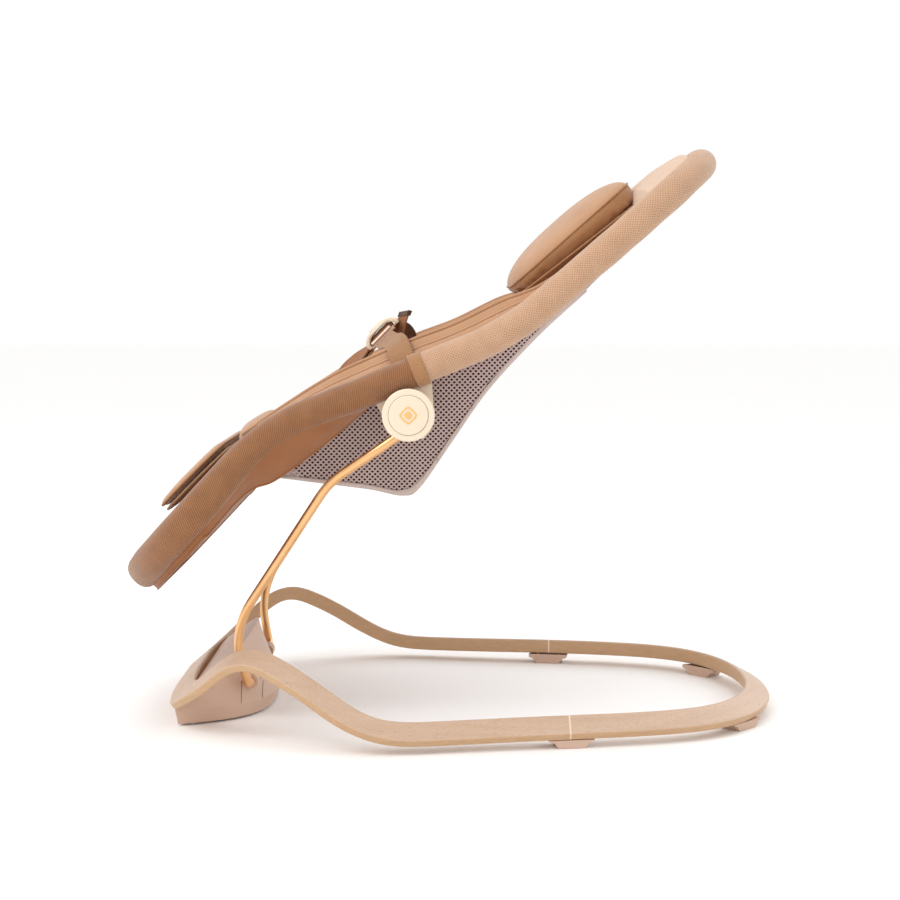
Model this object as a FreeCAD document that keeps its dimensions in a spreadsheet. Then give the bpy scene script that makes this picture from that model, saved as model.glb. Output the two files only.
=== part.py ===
"""Infant bouncer seat: bentwood base ring, front housing, sprung steel rod, reclining seat.

Row frame in millimetres: +X towards the head end, +Y to the child's right, +Z up, floor at z = 0.
Every piece is symmetric about the plane y = 0 or made once per side; left is y < 0.
"""
import FreeCAD, Part
import math
import os

import Sketcher
from FreeCAD import Placement, Rotation, Vector

SIDES = {"left": -1, "right": 1}
UP = Vector(0, 0, 1)

# Driving dimensions, in millimetres and degrees
DIMS = {
    # base ring
    "ring_top_width": 29.5,
    "ring_inner_height": 14.0,
    "ring_outer_height": 7.6,
    "ring_edge_round": 1.8,
    "joint_place": 110.0,
    "joiner_gap": 1.6,
    "tenon_length": 20.0,
    # front housing
    "housing_floor": 2.0,
    "parting_height": 16.5,
    "housing_wall": 3.0,
    "pivot_place": -208.0,
    "pivot_height": 38.0,
    # steel rod and its bearings
    "rod_radius": 4.5,
    "bush_radius": 7.5,
    "running_gap": 0.05,
    # hub
    "hub_place": -44.0,
    "hub_height": 317.0,
    "socket_inner_face": 177.5,
    "socket_outer_face": 200.6,
    "socket_radius": 20.2,
    "flange_radius": 25.0,
    "flange_outer_face": 206.0,
    "recess_radius": 19.2,
    "recess_floor": 189.0,
    "button_radius": 18.9,
    "button_face": 207.0,
    "button_travel": 3.0,
    "axle_radius": 4.0,
    "axle_head_radius": 7.0,
    "plate_inner_face": 171.0,
    "plate_thickness": 6.0,
    # seat frame
    "tube_radius": 8.0,
    "frame_half_width": 185.0,
    "frame_corner_radius": 100.0,
    "frame_joint_place": -30.0,
    "sleeve_radius_front": 15.0,
    "sleeve_radius_rear": 14.5,
    "band_radius": 15.8,
    "band_width": 9.0,
    # fabric
    "panel_thickness": 3.0,
    "liner_thickness": 9.0,
    "webbing_width": 24.0,
    "webbing_thickness": 1.8,
    # fasteners and feet
    "screw_radius": 2.0,
    "screw_head_radius": 4.0,
    "screw_head_height": 2.4,
    "foot_length": 44.0,
    "foot_width": 22.0,
}

doc = FreeCAD.newDocument("bouncer_seat")
sheet = doc.addObject("Spreadsheet::Sheet", "Dims")
for row, (alias, value) in enumerate(DIMS.items(), start=1):
    sheet.set("A%d" % row, alias)
    sheet.set("B%d" % row, str(value))
    sheet.setAlias("B%d" % row, alias)
doc.recompute()

nodes = []


def dim(alias):
    """Value of one driving dimension, read from the sheet."""
    return float(sheet.get(alias))


def keep(obj, label):
    """Name an object as a sub-part that is written out."""
    obj.Label = label
    nodes.append(obj)
    return obj


def solid_feature(label, shape, placement=None):
    """Sub-part whose shape is worked out from the sheet in code, then placed."""
    feature = doc.addObject("Part::Feature", label)
    feature.Shape = shape
    feature.Placement = placement or Placement()
    return keep(feature, label)


# ---------------------------------------------------------------------------
# PartDesign helpers
# ---------------------------------------------------------------------------
def origin_plane(body, role):
    """One of a body's own origin planes."""
    return next(f for f in body.Origin.OriginFeatures if f.Role == role)


def add_sketch(body, name, role="XY_Plane", lift=0.0):
    """Empty sketch on an origin plane of its body, lifted along the plane's normal."""
    sketch = body.newObject("Sketcher::SketchObject", name)
    sketch.AttachmentSupport = [(origin_plane(body, role), "")]
    sketch.MapMode = "FlatFace"
    sketch.AttachmentOffset = Placement(Vector(0, 0, lift), Rotation())
    return sketch


def circle_sketch(body, name, alias, lift=0.0):
    """Sketch of one circle whose radius is bound to the sheet."""
    sketch = add_sketch(body, name, lift=lift)
    sketch.addGeometry(Part.Circle(Vector(0, 0, 0), UP, dim(alias)), False)
    index = sketch.addConstraint(Sketcher.Constraint("Radius", 0, dim(alias)))
    sketch.setExpression("Constraints[%d]" % index, "Dims." + alias)
    return sketch


def circle_sketch_plain(body, name, radius, lift=0.0):
    """Sketch of one circle with a plain radius constraint."""
    sketch = add_sketch(body, name, lift=lift)
    sketch.addGeometry(Part.Circle(Vector(0, 0, 0), UP, radius), False)
    sketch.addConstraint(Sketcher.Constraint("Radius", 0, radius))
    return sketch


def outline_sketch(body, name, points, lift=0.0, role="XY_Plane"):
    """Sketch of a closed polygon."""
    sketch = add_sketch(body, name, role=role, lift=lift)
    corners = [Vector(x, y, 0) for x, y in points]
    for first, second in zip(corners, corners[1:] + corners[:1]):
        sketch.addGeometry(Part.LineSegment(first, second), False)
    count = len(corners)
    for line in range(count):
        sketch.addConstraint(Sketcher.Constraint("Coincident", line, 2, (line + 1) % count, 1))
    return sketch


def add_pad(body, sketch, length, midplane=False):
    """Pad a sketch by a length: a number, or an expression on the sheet."""
    pad = body.newObject("PartDesign::Pad", sketch.Name + "_pad")
    pad.Profile = sketch
    pad.Midplane = midplane
    if isinstance(length, str):
        pad.setExpression("Length", length)
    else:
        pad.Length = length
    return pad


def add_pocket(body, sketch, length):
    """Pocket a sketch against its normal, and check that it cuts."""
    doc.recompute()
    before = body.Shape.Volume
    pocket = body.newObject("PartDesign::Pocket", sketch.Name + "_pocket")
    pocket.Profile = sketch
    if isinstance(length, str):
        pocket.setExpression("Length", length)
    else:
        pocket.Length = length
    doc.recompute()
    if body.Shape.Volume > before - 1e-3:
        raise RuntimeError("pocket %s cuts nothing" % pocket.Name)
    return pocket


def hub_placement(side, distance):
    """Frame on the recline axis at a distance from the middle plane, its Z pointing outward."""
    turn = Rotation(Vector(1, 0, 0), 90 if side < 0 else -90)
    return Placement(Vector(dim("hub_place"), side * distance, dim("hub_height")), turn)


def hollow_cylinder(label, outer, inner, height, placement):
    """Sleeve cut from two cylinders; radii and height are expressions on the sheet."""
    wall = doc.addObject("Part::Cylinder", label + "_outside")
    bore = doc.addObject("Part::Cylinder", label + "_bore")
    for cylinder, radius in ((wall, outer), (bore, inner)):
        cylinder.setExpression("Radius", radius)
        cylinder.setExpression("Height", height)
        cylinder.Placement = placement
    sleeve = doc.addObject("Part::Cut", label)
    sleeve.Base = wall
    sleeve.Tool = bore
    return keep(sleeve, label)


# ---------------------------------------------------------------------------
# Shape helpers
# ---------------------------------------------------------------------------
def fillet_wire(points, radii):
    """Wire of straight runs joined by tangent arcs; radii has one value per inner corner."""
    edges = []
    start = points[0]
    for before, corner, after, radius in zip(points, points[1:], points[2:], radii):
        to_before = (before - corner).normalize()
        to_after = (after - corner).normalize()
        half = to_before.getAngle(to_after) / 2
        reach = radius / math.tan(half)
        first = corner + to_before * reach
        last = corner + to_after * reach
        centre_line = (to_before + to_after).normalize()
        middle = corner + centre_line * (radius / math.sin(half) - radius)
        if (first - start).Length > 1e-6:
            edges.append(Part.LineSegment(start, first).toShape())
        edges.append(Part.Arc(first, middle, last).toShape())
        start = last
    edges.append(Part.LineSegment(start, points[-1]).toShape())
    return Part.Wire(edges)


def tube_along(wire, radius):
    """Round bar along a wire."""
    first = wire.Edges[0]
    start = first.valueAt(first.FirstParameter)
    along = first.tangentAt(first.FirstParameter)
    ring = Part.Wire([Part.Circle(start, along, radius).toShape()])
    return wire.makePipeShell([ring], True, False)


def smooth_track(stations, steps):
    """Points along a smooth curve through the stations, each with its extra values blended."""
    curve = Part.BSplineCurve()
    places = [Vector(*s[:3]) for s in stations]
    curve.interpolate(places)
    marks = [curve.parameter(p) for p in places]
    track = []
    for number in range(steps + 1):
        u = curve.FirstParameter + (curve.LastParameter - curve.FirstParameter) * number / steps
        index = max(i for i, mark in enumerate(marks) if mark <= u + 1e-9)
        index = min(index, len(marks) - 2)
        share = (u - marks[index]) / (marks[index + 1] - marks[index])
        share = share * share * (3 - 2 * share)
        extra = stations[index][3] * (1 - share) + stations[index + 1][3] * share
        track.append((curve.value(u), curve.tangent(u)[0], extra))
    return track


def rounded_wire(corners, radius):
    """Closed wire through flat corners, each rounded by a small arc."""
    count = len(corners)
    edges = []
    cuts = []
    for i in range(count):
        corner = corners[i]
        before = (corners[i - 1] - corner).normalize()
        after = (corners[(i + 1) % count] - corner).normalize()
        half = before.getAngle(after) / 2
        reach = radius / math.tan(half)
        middle = corner + (before + after).normalize() * (radius / math.sin(half) - radius)
        cuts.append((corner + before * reach, middle, corner + after * reach))
    for i in range(count):
        first, middle, last = cuts[i]
        edges.append(Part.Arc(first, middle, last).toShape())
        edges.append(Part.LineSegment(last, cuts[(i + 1) % count][0]).toShape())
    return Part.Wire(edges)


def loft_strip(sections, ruled=True):
    """Closed solid through a row of flat polygons."""
    wires = [Part.makePolygon(s + [s[0]]) for s in sections]
    return Part.makeLoft(wires, True, ruled)


# ---------------------------------------------------------------------------
# Base ring: two bentwood halves of one wedge-shaped section
# ---------------------------------------------------------------------------
FLAT_TILT = 28.0
CREST_TILT = 22.0
FRONT_TILT = 40.5
WIDENING = 0.45  # extra width of the top face per degree that it is steeper than FLAT_TILT

# Inner top edge of the front half, from the joint over the arch to the middle of the
# front: place (x, y, z) and the outward slope of the top face in degrees
FRONT_EDGE = [
    (120, 190, 29, FLAT_TILT),
    (55, 200, 28.5, FLAT_TILT),
    (5, 208.5, 28, FLAT_TILT),
    (-35, 216, 28, FLAT_TILT),
    (-62, 220, 30, FLAT_TILT),
    (-82, 221, 36, 26.0),
    (-104, 218, 48, 24.0),
    (-127, 212, 63, CREST_TILT),
    (-152, 204, 78, CREST_TILT),
    (-173, 196, 88, CREST_TILT),
    (-193, 188, 92, 24.0),
    (-212, 177.5, 87, 28.0),
    (-231, 163.5, 73.5, 34.0),
    (-249, 144, 56, 38.0),
    (-260, 114, 47, 43.0),
    (-263.5, 60, 48, FRONT_TILT),
    (-264, 0, 48, FRONT_TILT),
]

# Inner top edge of the rear half, from the joint to the middle of the back
REAR_EDGE = [
    (100, 193, 29, FLAT_TILT),
    (153, 183.5, 29, FLAT_TILT),
    (196, 173, 29, FLAT_TILT),
    (230, 159.5, 29, FLAT_TILT),
    (256, 141, 29, FLAT_TILT),
    (277, 115, 29, FLAT_TILT),
    (292, 84, 29, FLAT_TILT),
    (302, 44, 29, FLAT_TILT),
    (305, 0, 29, FLAT_TILT),
]


def ring_section(place, along, tilt, inset=0.0):
    """Wedge section of the ring square to its run; outward is away from the ring's middle."""
    outward = along.cross(UP).normalize()
    upward = outward.cross(along).normalize()
    slope = math.radians(tilt)
    down_out = outward * math.cos(slope) - upward * math.sin(slope)
    down_in = outward * -math.sin(slope) - upward * math.cos(slope)
    width = dim("ring_top_width") + WIDENING * max(0.0, tilt - FLAT_TILT)
    corners = [
        place + down_out * inset + down_in * inset,
        place + down_out * (width - inset) + down_in * inset,
        place + down_out * (width + 0.5 - inset) + down_in * (dim("ring_outer_height") - inset),
        place + down_out * (11.0 + inset) + down_in * (dim("ring_inner_height") - inset),
    ]
    return corners


def ring_half(stations, steps):
    """One bentwood half: its section lofted along one side, the middle and the other side."""
    mirrored = [(x, -y, z, tilt) for x, y, z, tilt in stations[:-1]]
    turn = -1 if stations[0][0] < stations[-1][0] else 1
    wires = []
    for place, along, tilt in smooth_track(stations + mirrored[::-1], 2 * steps):
        corners = ring_section(place, along * turn, tilt)
        wires.append(rounded_wire(corners, dim("ring_edge_round")))
    return Part.makeLoft(wires, True, False)


def build_ring():
    """The two halves, trimmed square at the joints."""
    gap = dim("joiner_gap") / 2
    joint = dim("joint_place")
    front = ring_half(FRONT_EDGE, 24).cut(Part.makeBox(60, 600, 120, Vector(joint - gap, -300, -20)))
    rear = ring_half(REAR_EDGE, 18).cut(Part.makeBox(60, 600, 120, Vector(joint + gap - 60, -300, -20)))
    solid_feature("rear_ring", rear)
    return solid_feature("front_ring", front)


def build_joiners():
    """Thin plate between the halves at each joint, with a flat tenon into both."""
    gap = dim("joiner_gap")
    joint = dim("joint_place")
    reach = dim("tenon_length")
    for name, side in SIDES.items():
        slab = Part.makeBox(gap, 60, 40, Vector(joint - gap / 2, -30 + side * 205, 0))
        reference = ring_section(Vector(joint, 191.5, 29), Vector(-1, 0.15, 0), FLAT_TILT)
        outline = rounded_wire([Vector(joint - gap / 2, side * p.y, p.z) for p in reference],
                               dim("ring_edge_round"))
        plate = Part.Face(outline).extrude(Vector(gap, 0, 0)).common(slab)
        tenon = Part.makeBox(2 * reach, 8, 4, Vector(joint - reach, side * 203 - 4, 14))
        solid_feature("ring_joiner_" + name, plate.fuse(tenon))


# ---------------------------------------------------------------------------
# Front housing: D-shaped plastic shell in two halves, holding the rod's pivot
# ---------------------------------------------------------------------------
# Wall outline in plan from the front corner to the middle of the rear, at three heights
FLOOR_OUTLINE = [(-277, 124), (-240, 108), (-214, 86), (-198, 56), (-191, 0)]
PARTING_OUTLINE = [(-279, 129), (-239, 111), (-212, 89), (-194, 58), (-186, 0)]
TOP_OUTLINE = [(-279, 127), (-246, 114), (-225, 95), (-217, 60), (-215, 0)]
TOP_HEIGHT = 80.0
TOP_FRONT = (-277, 29)
TOP_REAR = (-212, 79)


def d_wire(outline, height, inset=0.0):
    """D-shaped wire: straight front and one smooth curve round the rear."""
    points = [Vector(x + (inset if i == 0 else -inset * 0.8), max(y - inset, 0), height)
              for i, (x, y) in enumerate(outline)]
    other = [Vector(p.x, -p.y, p.z) for p in points[:-1]]
    curve = Part.BSplineCurve()
    curve.interpolate(points + other[::-1])
    front = Part.LineSegment(other[0], points[0])
    return Part.Wire([curve.toShape(), front.toShape()])


def housing_body(inset):
    """Solid of the whole housing, drawn in on every side by an inset."""
    floor = dim("housing_floor") + inset
    parting = dim("parting_height")
    base_wire = d_wire(FLOOR_OUTLINE, floor, inset)
    parting_wire = d_wire(PARTING_OUTLINE, parting, inset)
    top_wire = d_wire(TOP_OUTLINE, TOP_HEIGHT, inset)
    lower = Part.makeLoft([base_wire, parting_wire], True, True)
    upper = Part.makeLoft([parting_wire, top_wire], True, True)
    reach = 40.0
    rise = reach * (TOP_REAR[1] - TOP_FRONT[1]) / (TOP_REAR[0] - TOP_FRONT[0])
    low = Vector(TOP_FRONT[0] - reach, -200, TOP_FRONT[1] - rise - inset)
    high = Vector(TOP_REAR[0] + reach, -200, TOP_REAR[1] + rise - inset)
    slope = [low, high, Vector(high.x, -200, 300), Vector(low.x, -200, 300), low]
    above = Part.Face(Part.makePolygon(slope)).extrude(Vector(0, 400, 0))
    return lower.fuse(upper.cut(above)).removeSplitter()


def build_housing(front_ring):
    """Lower and upper shells, parted level except at the tabs that carry the rod's bushes."""
    parting = dim("parting_height")
    pivot = Vector(dim("pivot_place"), 0, dim("pivot_height"))
    wall = dim("housing_wall")
    shell = housing_body(0).cut(housing_body(wall))
    ring_room = ring_half([(x + 0.4, y - 0.4, z + 0.3, tilt) for x, y, z, tilt in FRONT_EDGE], 24)
    lower_zone = Part.makeBox(200, 400, parting + 10, Vector(-300, -200, -10))
    tabs = []
    seats = []
    for side in SIDES.values():
        tabs.append(Part.makeBox(18, 60, pivot.z - parting, Vector(pivot.x - 9, side * 85 - 30, parting)))
        seats.append(Part.makeCylinder(11, 30, Vector(pivot.x, side * 82 - 15, pivot.z), Vector(0, 1, 0)))
    ribs = [Part.makeBox(18, 5, pivot.z - 4, Vector(pivot.x - 9, y - 2.5, 4)) for y in (-40, 40)]
    bore = Part.makeCylinder(dim("bush_radius"), 400, Vector(pivot.x, -200, pivot.z), Vector(0, 1, 0))
    block = Part.makeCompound(seats).common(housing_body(0.5))
    solid = shell.fuse(block)
    lower_tool = lower_zone.fuse(tabs)
    lower = solid.common(lower_tool).fuse(ribs).cut(bore)
    margin = [Part.makeBox(19, 61, pivot.z - parting + 0.5, Vector(pivot.x - 9.5, s * 85 - 30.5, parting))
              for s in SIDES.values()]
    upper = solid.cut(lower_zone.fuse(margin)).cut(bore).cut(ring_room).cut(front_ring.Shape)
    lower = max(lower.cut(ring_room).Solids, key=lambda s: s.Volume)
    upper = max(upper.cut(lower).Solids, key=lambda s: s.Volume)
    solid_feature("housing_lower", lower)
    solid_feature("housing_upper", upper)


def build_bushes():
    """Plain bushes that carry the rod where it enters the housing."""
    for name, side in SIDES.items():
        start = 68 if side > 0 else -88
        place = Placement(Vector(dim("pivot_place"), start, dim("pivot_height")),
                          Rotation(Vector(1, 0, 0), -90))
        hollow_cylinder("rod_bush_" + name, "Dims.bush_radius", "Dims.rod_radius + Dims.running_gap",
                        "20", place)


def screw_group(label, places, length, direction=UP):
    """Identical pan-head screws as one node: places are the undersides of the heads."""
    screws = []
    turn = Rotation(UP, direction)
    for number, place in enumerate(places, start=1):
        head = doc.addObject("Part::Cylinder", "%s_head_%d" % (label, number))
        head.setExpression("Radius", "Dims.screw_head_radius")
        head.setExpression("Height", "Dims.screw_head_height")
        head.Placement = Placement(place - direction * dim("screw_head_height"), turn)
        shank = doc.addObject("Part::Cylinder", "%s_shank_%d" % (label, number))
        shank.setExpression("Radius", "Dims.screw_radius")
        shank.Height = length
        shank.Placement = Placement(place, turn)
        screw = doc.addObject("Part::Fuse", "%s_%d" % (label, number))
        screw.Base = head
        screw.Tool = shank
        screws.append(screw)
    group = doc.addObject("Part::Compound", label)
    group.Links = screws
    return keep(group, label)


def build_feet():
    """Rubber studs under the housing and plastic pads under the ring, flared at the top."""
    underside = {"joint_foot": (110, 203, 8), "rear_foot": (283, 128, 46)}
    long = dim("foot_length") / 2
    wide = dim("foot_width") / 2
    flare = [(-long + 9, 0), (long - 9, 0), (long - 5, 5), (long, 6.6), (long, 12), (-long, 12),
             (-long, 6.6), (-long + 5, 5)]
    for kind, (x, y, heading) in underside.items():
        for name, side in SIDES.items():
            wedge = doc.addObject("PartDesign::Body", kind + "_wedge_" + name)
            slope = [(-wide, 0), (wide, 0), (wide, 7.75), (-wide, 10.25)]
            profile = [(side * across, height) for across, height in slope]
            add_pad(wedge, outline_sketch(wedge, kind + "_slope_" + name, profile, role="YZ_Plane"),
                    "Dims.foot_length", midplane=True)
            side_view = doc.addObject("PartDesign::Body", kind + "_side_view_" + name)
            add_pad(side_view, outline_sketch(side_view, kind + "_flare_" + name, flare, role="XZ_Plane"),
                    "Dims.foot_width", midplane=True)
            foot = doc.addObject("Part::MultiCommon", kind + "_" + name)
            foot.Shapes = [wedge, side_view]
            foot.Placement = Placement(Vector(x, side * y, 0), Rotation(UP, -side * heading))
            keep(foot, kind + "_" + name)
    for name, side in SIDES.items():
        stud = doc.addObject("Part::Cone", "front_foot_" + name)
        stud.Radius1 = 4.5
        stud.Radius2 = 6.0
        stud.Height = 2.0
        stud.Placement.Base = Vector(-264, side * 112, 0)
        keep(stud, "front_foot_" + name)


# ---------------------------------------------------------------------------
# Support: the bent steel rod and the round sockets on its ends
# ---------------------------------------------------------------------------
# Corners of the rod on the right-hand side, from the hub to the pivot, with bend radii
ROD_CORNERS = [(-42, 184, 304.5), (-74, 184, 282.3), (-122, 166, 249), (-222, 130, 96), (-208, 104, 37)]
ROD_BENDS = [60, 85, 90, 11]


def rod_shape(radius):
    """The whole rod: hub, leg, pivot run, leg, hub."""
    right = [Vector(*c) for c in ROD_CORNERS]
    right[-1] = Vector(dim("pivot_place"), right[-1].y, dim("pivot_height"))
    left = [Vector(p.x, -p.y, p.z) for p in right]
    return tube_along(fillet_wire(left + right[::-1], ROD_BENDS + ROD_BENDS[::-1]), radius)


def build_support():
    """Rod, sockets, axles and the screws that hold the rod."""
    rod = solid_feature("support_rod", rod_shape(dim("rod_radius")))
    for name, side in SIDES.items():
        socket = doc.addObject("PartDesign::Body", "socket_body_" + name)
        drum = circle_sketch(socket, "socket_drum_" + name, "socket_radius")
        add_pad(socket, drum, "Dims.socket_outer_face - Dims.socket_inner_face")
        flange = circle_sketch(socket, "socket_flange_" + name, "flange_radius",
                               lift=dim("socket_outer_face") - dim("socket_inner_face"))
        rim = add_pad(socket, flange, "Dims.flange_outer_face - Dims.socket_outer_face")
        doc.recompute()
        top_edges = [("Edge%d" % (i + 1)) for i, e in enumerate(rim.Shape.Edges)
                     if e.BoundBox.ZLength < 1e-6 and abs(e.BoundBox.ZMax - rim.Shape.BoundBox.ZMax) < 1e-6]
        round_rim = socket.newObject("PartDesign::Fillet", "socket_round_" + name)
        round_rim.Base = (rim, top_edges)
        round_rim.Radius = 1.6
        recess = circle_sketch(socket, "socket_recess_" + name, "recess_radius",
                               lift=dim("flange_outer_face") - dim("socket_inner_face"))
        add_pocket(socket, recess, "Dims.flange_outer_face - Dims.recess_floor")
        bore = circle_sketch(socket, "socket_bore_" + name, "axle_radius",
                             lift=dim("recess_floor") - dim("socket_inner_face"))
        add_pocket(socket, bore, "Dims.recess_floor - Dims.socket_inner_face")
        socket.Placement = hub_placement(side, dim("socket_inner_face"))
        drilled = doc.addObject("Part::Cut", "hub_socket_" + name)
        drilled.Base = socket
        drilled.Tool = rod
        keep(drilled, "hub_socket_" + name)

        axle = doc.addObject("PartDesign::Body", "hub_axle_" + name)
        shank = circle_sketch(axle, "axle_shank_" + name, "axle_radius")
        add_pad(axle, shank, "Dims.recess_floor - Dims.plate_inner_face + 2.5")
        head = circle_sketch(axle, "axle_head_" + name, "axle_head_radius",
                             lift=dim("recess_floor") - dim("plate_inner_face") + 2.5)
        add_pad(axle, head, 2.0)
        washer = circle_sketch(axle, "axle_cap_" + name, "axle_head_radius", lift=0.9)
        add_pad(axle, washer, 1.5)
        axle.Placement = hub_placement(side, dim("plate_inner_face") - 2.5)
        keep(axle, "hub_axle_" + name)
    return rod


def build_buttons():
    """Recline buttons in the hub sockets, each on a silicone return spring."""
    for name, side in SIDES.items():
        button = doc.addObject("PartDesign::Body", "recline_button_" + name)
        disc = circle_sketch(button, "button_disc_" + name, "button_radius")
        skirt_depth = 9.0
        pad = add_pad(button, disc, skirt_depth)
        doc.recompute()
        front_edges = [("Edge%d" % (i + 1)) for i, e in enumerate(pad.Shape.Edges)
                       if e.BoundBox.ZLength < 1e-6 and abs(e.BoundBox.ZMax - skirt_depth) < 1e-6]
        soft = button.newObject("PartDesign::Fillet", "button_round_" + name)
        soft.Base = (pad, front_edges)
        soft.Radius = 1.2
        doc.recompute()
        hollow = add_sketch(button, "button_hollow_" + name)
        hollow.addGeometry(Part.Circle(Vector(0, 0, 0), UP, dim("button_radius") - 2.0), False)
        cut = button.newObject("PartDesign::Pocket", "button_hollow_cut_" + name)
        cut.Profile = hollow
        cut.Length = skirt_depth - 2.5
        cut.Reversed = True
        button.Placement = hub_placement(side, dim("button_face") - skirt_depth)
        keep(button, "recline_button_" + name)

        hollow_cylinder("button_spring_" + name, "10.5", "9",
                        "Dims.button_face - 2.5 - Dims.recess_floor - 0.1",
                        hub_placement(side, dim("recess_floor")))


# ---------------------------------------------------------------------------
# Seat frame: two bent tubes, their spigots, hub plates and padded sleeves
# ---------------------------------------------------------------------------
# Side line of the frame in the plane of its tubes: foot bar, knee, hip, head bar (x, z)
FOOT_BAR = (-314.5, 156)
KNEE = (-180, 301)
HIP = (53, 394)
HEAD_BAR = (244, 559.5)
KNEE_BEND = 200.0
HIP_BEND = 270.0


def side_height(x):
    """Height of the frame's side line at a place along X, with its corners left sharp."""
    line = [FOOT_BAR, KNEE, HIP, HEAD_BAR]
    for (x0, z0), (x1, z1) in zip(line, line[1:]):
        if x <= x1:
            break
    return z0 + (z1 - z0) * (x - x0) / (x1 - x0)


def frame_wires():
    """Centre lines of the front and rear tubes."""
    half = dim("frame_half_width")
    corner = dim("frame_corner_radius")
    joint_x = dim("frame_joint_place")
    joint = (joint_x, side_height(joint_x))

    def at(point, side):
        return Vector(point[0], side * half, point[1])

    front = [at(joint, -1), at(KNEE, -1), at(FOOT_BAR, -1), at(FOOT_BAR, 1), at(KNEE, 1), at(joint, 1)]
    rear = [at(joint, -1), at(HIP, -1), at(HEAD_BAR, -1), at(HEAD_BAR, 1), at(HIP, 1), at(joint, 1)]
    return (fillet_wire(front, [KNEE_BEND, corner, corner, KNEE_BEND]),
            fillet_wire(rear, [HIP_BEND, corner, corner, HIP_BEND]))


def build_frame():
    """Tubes, spigots, sleeves and bands."""
    front_wire, rear_wire = frame_wires()
    half = dim("frame_half_width")
    joint_x = dim("frame_joint_place")
    along = Vector(HIP[0] - KNEE[0], 0, HIP[1] - KNEE[1]).normalize()
    for label, wire, sleeve_radius in (("front", front_wire, dim("sleeve_radius_front")),
                                       ("rear", rear_wire, dim("sleeve_radius_rear"))):
        bar = tube_along(wire, dim("tube_radius"))
        inside = tube_along(wire, dim("tube_radius") - 1.2)
        solid_feature("seat_frame_" + label, bar.cut(inside))
        solid_feature(label + "_sleeve", tube_along(wire, sleeve_radius).cut(bar))
    for name, side in SIDES.items():
        centre = Vector(joint_x, side * half, side_height(joint_x))
        spigot = doc.addObject("Part::Cylinder", "frame_spigot_" + name)
        spigot.setExpression("Radius", "Dims.tube_radius - 1.2")
        spigot.Height = 70
        spigot.Placement = Placement(centre - along * 35, Rotation(UP, along))
        keep(spigot, "frame_spigot_" + name)
        place = Placement(centre - along * dim("band_width"), Rotation(UP, along))
        hollow_cylinder("sleeve_band_" + name, "Dims.band_radius", "Dims.sleeve_radius_front",
                        "Dims.band_width", place)


def build_hub_plates():
    """Plastic plates that carry the frame tubes on the recline axis."""
    centre_x = dim("hub_place")
    centre_z = dim("hub_height")
    outline = [(-76, 327), (-62, 301), (-45, 293), (-30, 293), (-20, 307), (-21, 331), (-23, 364),
               (-71, 345)]
    along = Vector(HIP[0] - KNEE[0], 0, HIP[1] - KNEE[1]).normalize()
    for name, side in SIDES.items():
        body = doc.addObject("PartDesign::Body", "plate_body_" + name)
        flip = 1 if side < 0 else -1
        points = [(x - centre_x, flip * (z - centre_z)) for x, z in outline]
        sketch = outline_sketch(body, "plate_outline_" + name, points)
        add_pad(body, sketch, "Dims.plate_thickness")
        doc.recompute()
        hole = add_sketch(body, "plate_hole_" + name, lift=dim("plate_thickness"))
        hole.addGeometry(Part.Circle(Vector(0, 0, 0), UP, dim("axle_radius") + dim("running_gap")), False)
        add_pocket(body, hole, "Dims.plate_thickness")
        body.Placement = hub_placement(side, dim("plate_inner_face"))
        start = Vector(-66, side * dim("frame_half_width"), side_height(-66))
        saddle = doc.addObject("Part::Cylinder", "plate_saddle_" + name)
        saddle.setExpression("Radius", "Dims.tube_radius + 3.2")
        saddle.Height = 34
        saddle.Placement = Placement(start, Rotation(UP, along))
        core = doc.addObject("Part::Cylinder", "plate_core_" + name)
        core.setExpression("Radius", "Dims.tube_radius")
        core.Height = 90
        core.Placement = Placement(start - along * 20, Rotation(UP, along))
        joined = doc.addObject("Part::Fuse", "plate_joined_" + name)
        joined.Base = body
        joined.Tool = saddle
        plate = doc.addObject("Part::Cut", "hub_plate_" + name)
        plate.Base = joined
        plate.Tool = core
        keep(plate, "hub_plate_" + name)
    bolt_x = (-60.0, -46.0)
    places = [Vector(x, side * (dim("frame_half_width") - 11.2), side_height(x))
              for x in bolt_x for side in SIDES.values()]
    rivets = []
    for number, place in enumerate(places, start=1):
        outward = Vector(0, 1 if place.y > 0 else -1, 0)
        rivet = doc.addObject("Part::Cylinder", "plate_rivet_%d" % number)
        rivet.Radius = 2.4
        rivet.Height = 10
        rivet.Placement = Placement(place - outward * 1.5, Rotation(UP, outward))
        rivets.append(rivet)
    group = doc.addObject("Part::Compound", "plate_rivets")
    group.Links = rivets
    keep(group, "plate_rivets")


# ---------------------------------------------------------------------------
# Fabric: bucket panels, liner, pads
# ---------------------------------------------------------------------------
# Bucket stations: top edge beside the tube, bottom edge of the bucket; (x, y, z) for y > 0
BUCKET = [
    ((-196, 168, 268), (-171, 160, 254)),
    ((-150, 168, 300), (-126, 140, 246)),
    ((-100, 168, 321), (-85, 124, 239)),
    ((-60, 168, 337), (-53, 116, 232)),
    ((-25, 168, 351), (-36, 116, 240)),
    ((5, 168, 363), (-5, 124, 285)),
    ((40, 168, 378), (32, 140, 339)),
    ((80, 168, 404), (80, 156, 392)),
    ((125, 168, 441), (125, 164, 434)),
]
HEAD_PANEL = [(125, 163, 434), (172, 160, 475), (202, 139, 502), (224, 107, 523.5), (237, 78, 536)]
FOOT_PANEL = [
    ((-288, 138, 172), (-284, 118, 153)),
    ((-244, 164, 215), (-238, 146, 200)),
    ((-205, 168, 258), (-195, 156, 243)),
    ((-197, 168, 266.5), (-173, 158, 252.5)),
]


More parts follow.
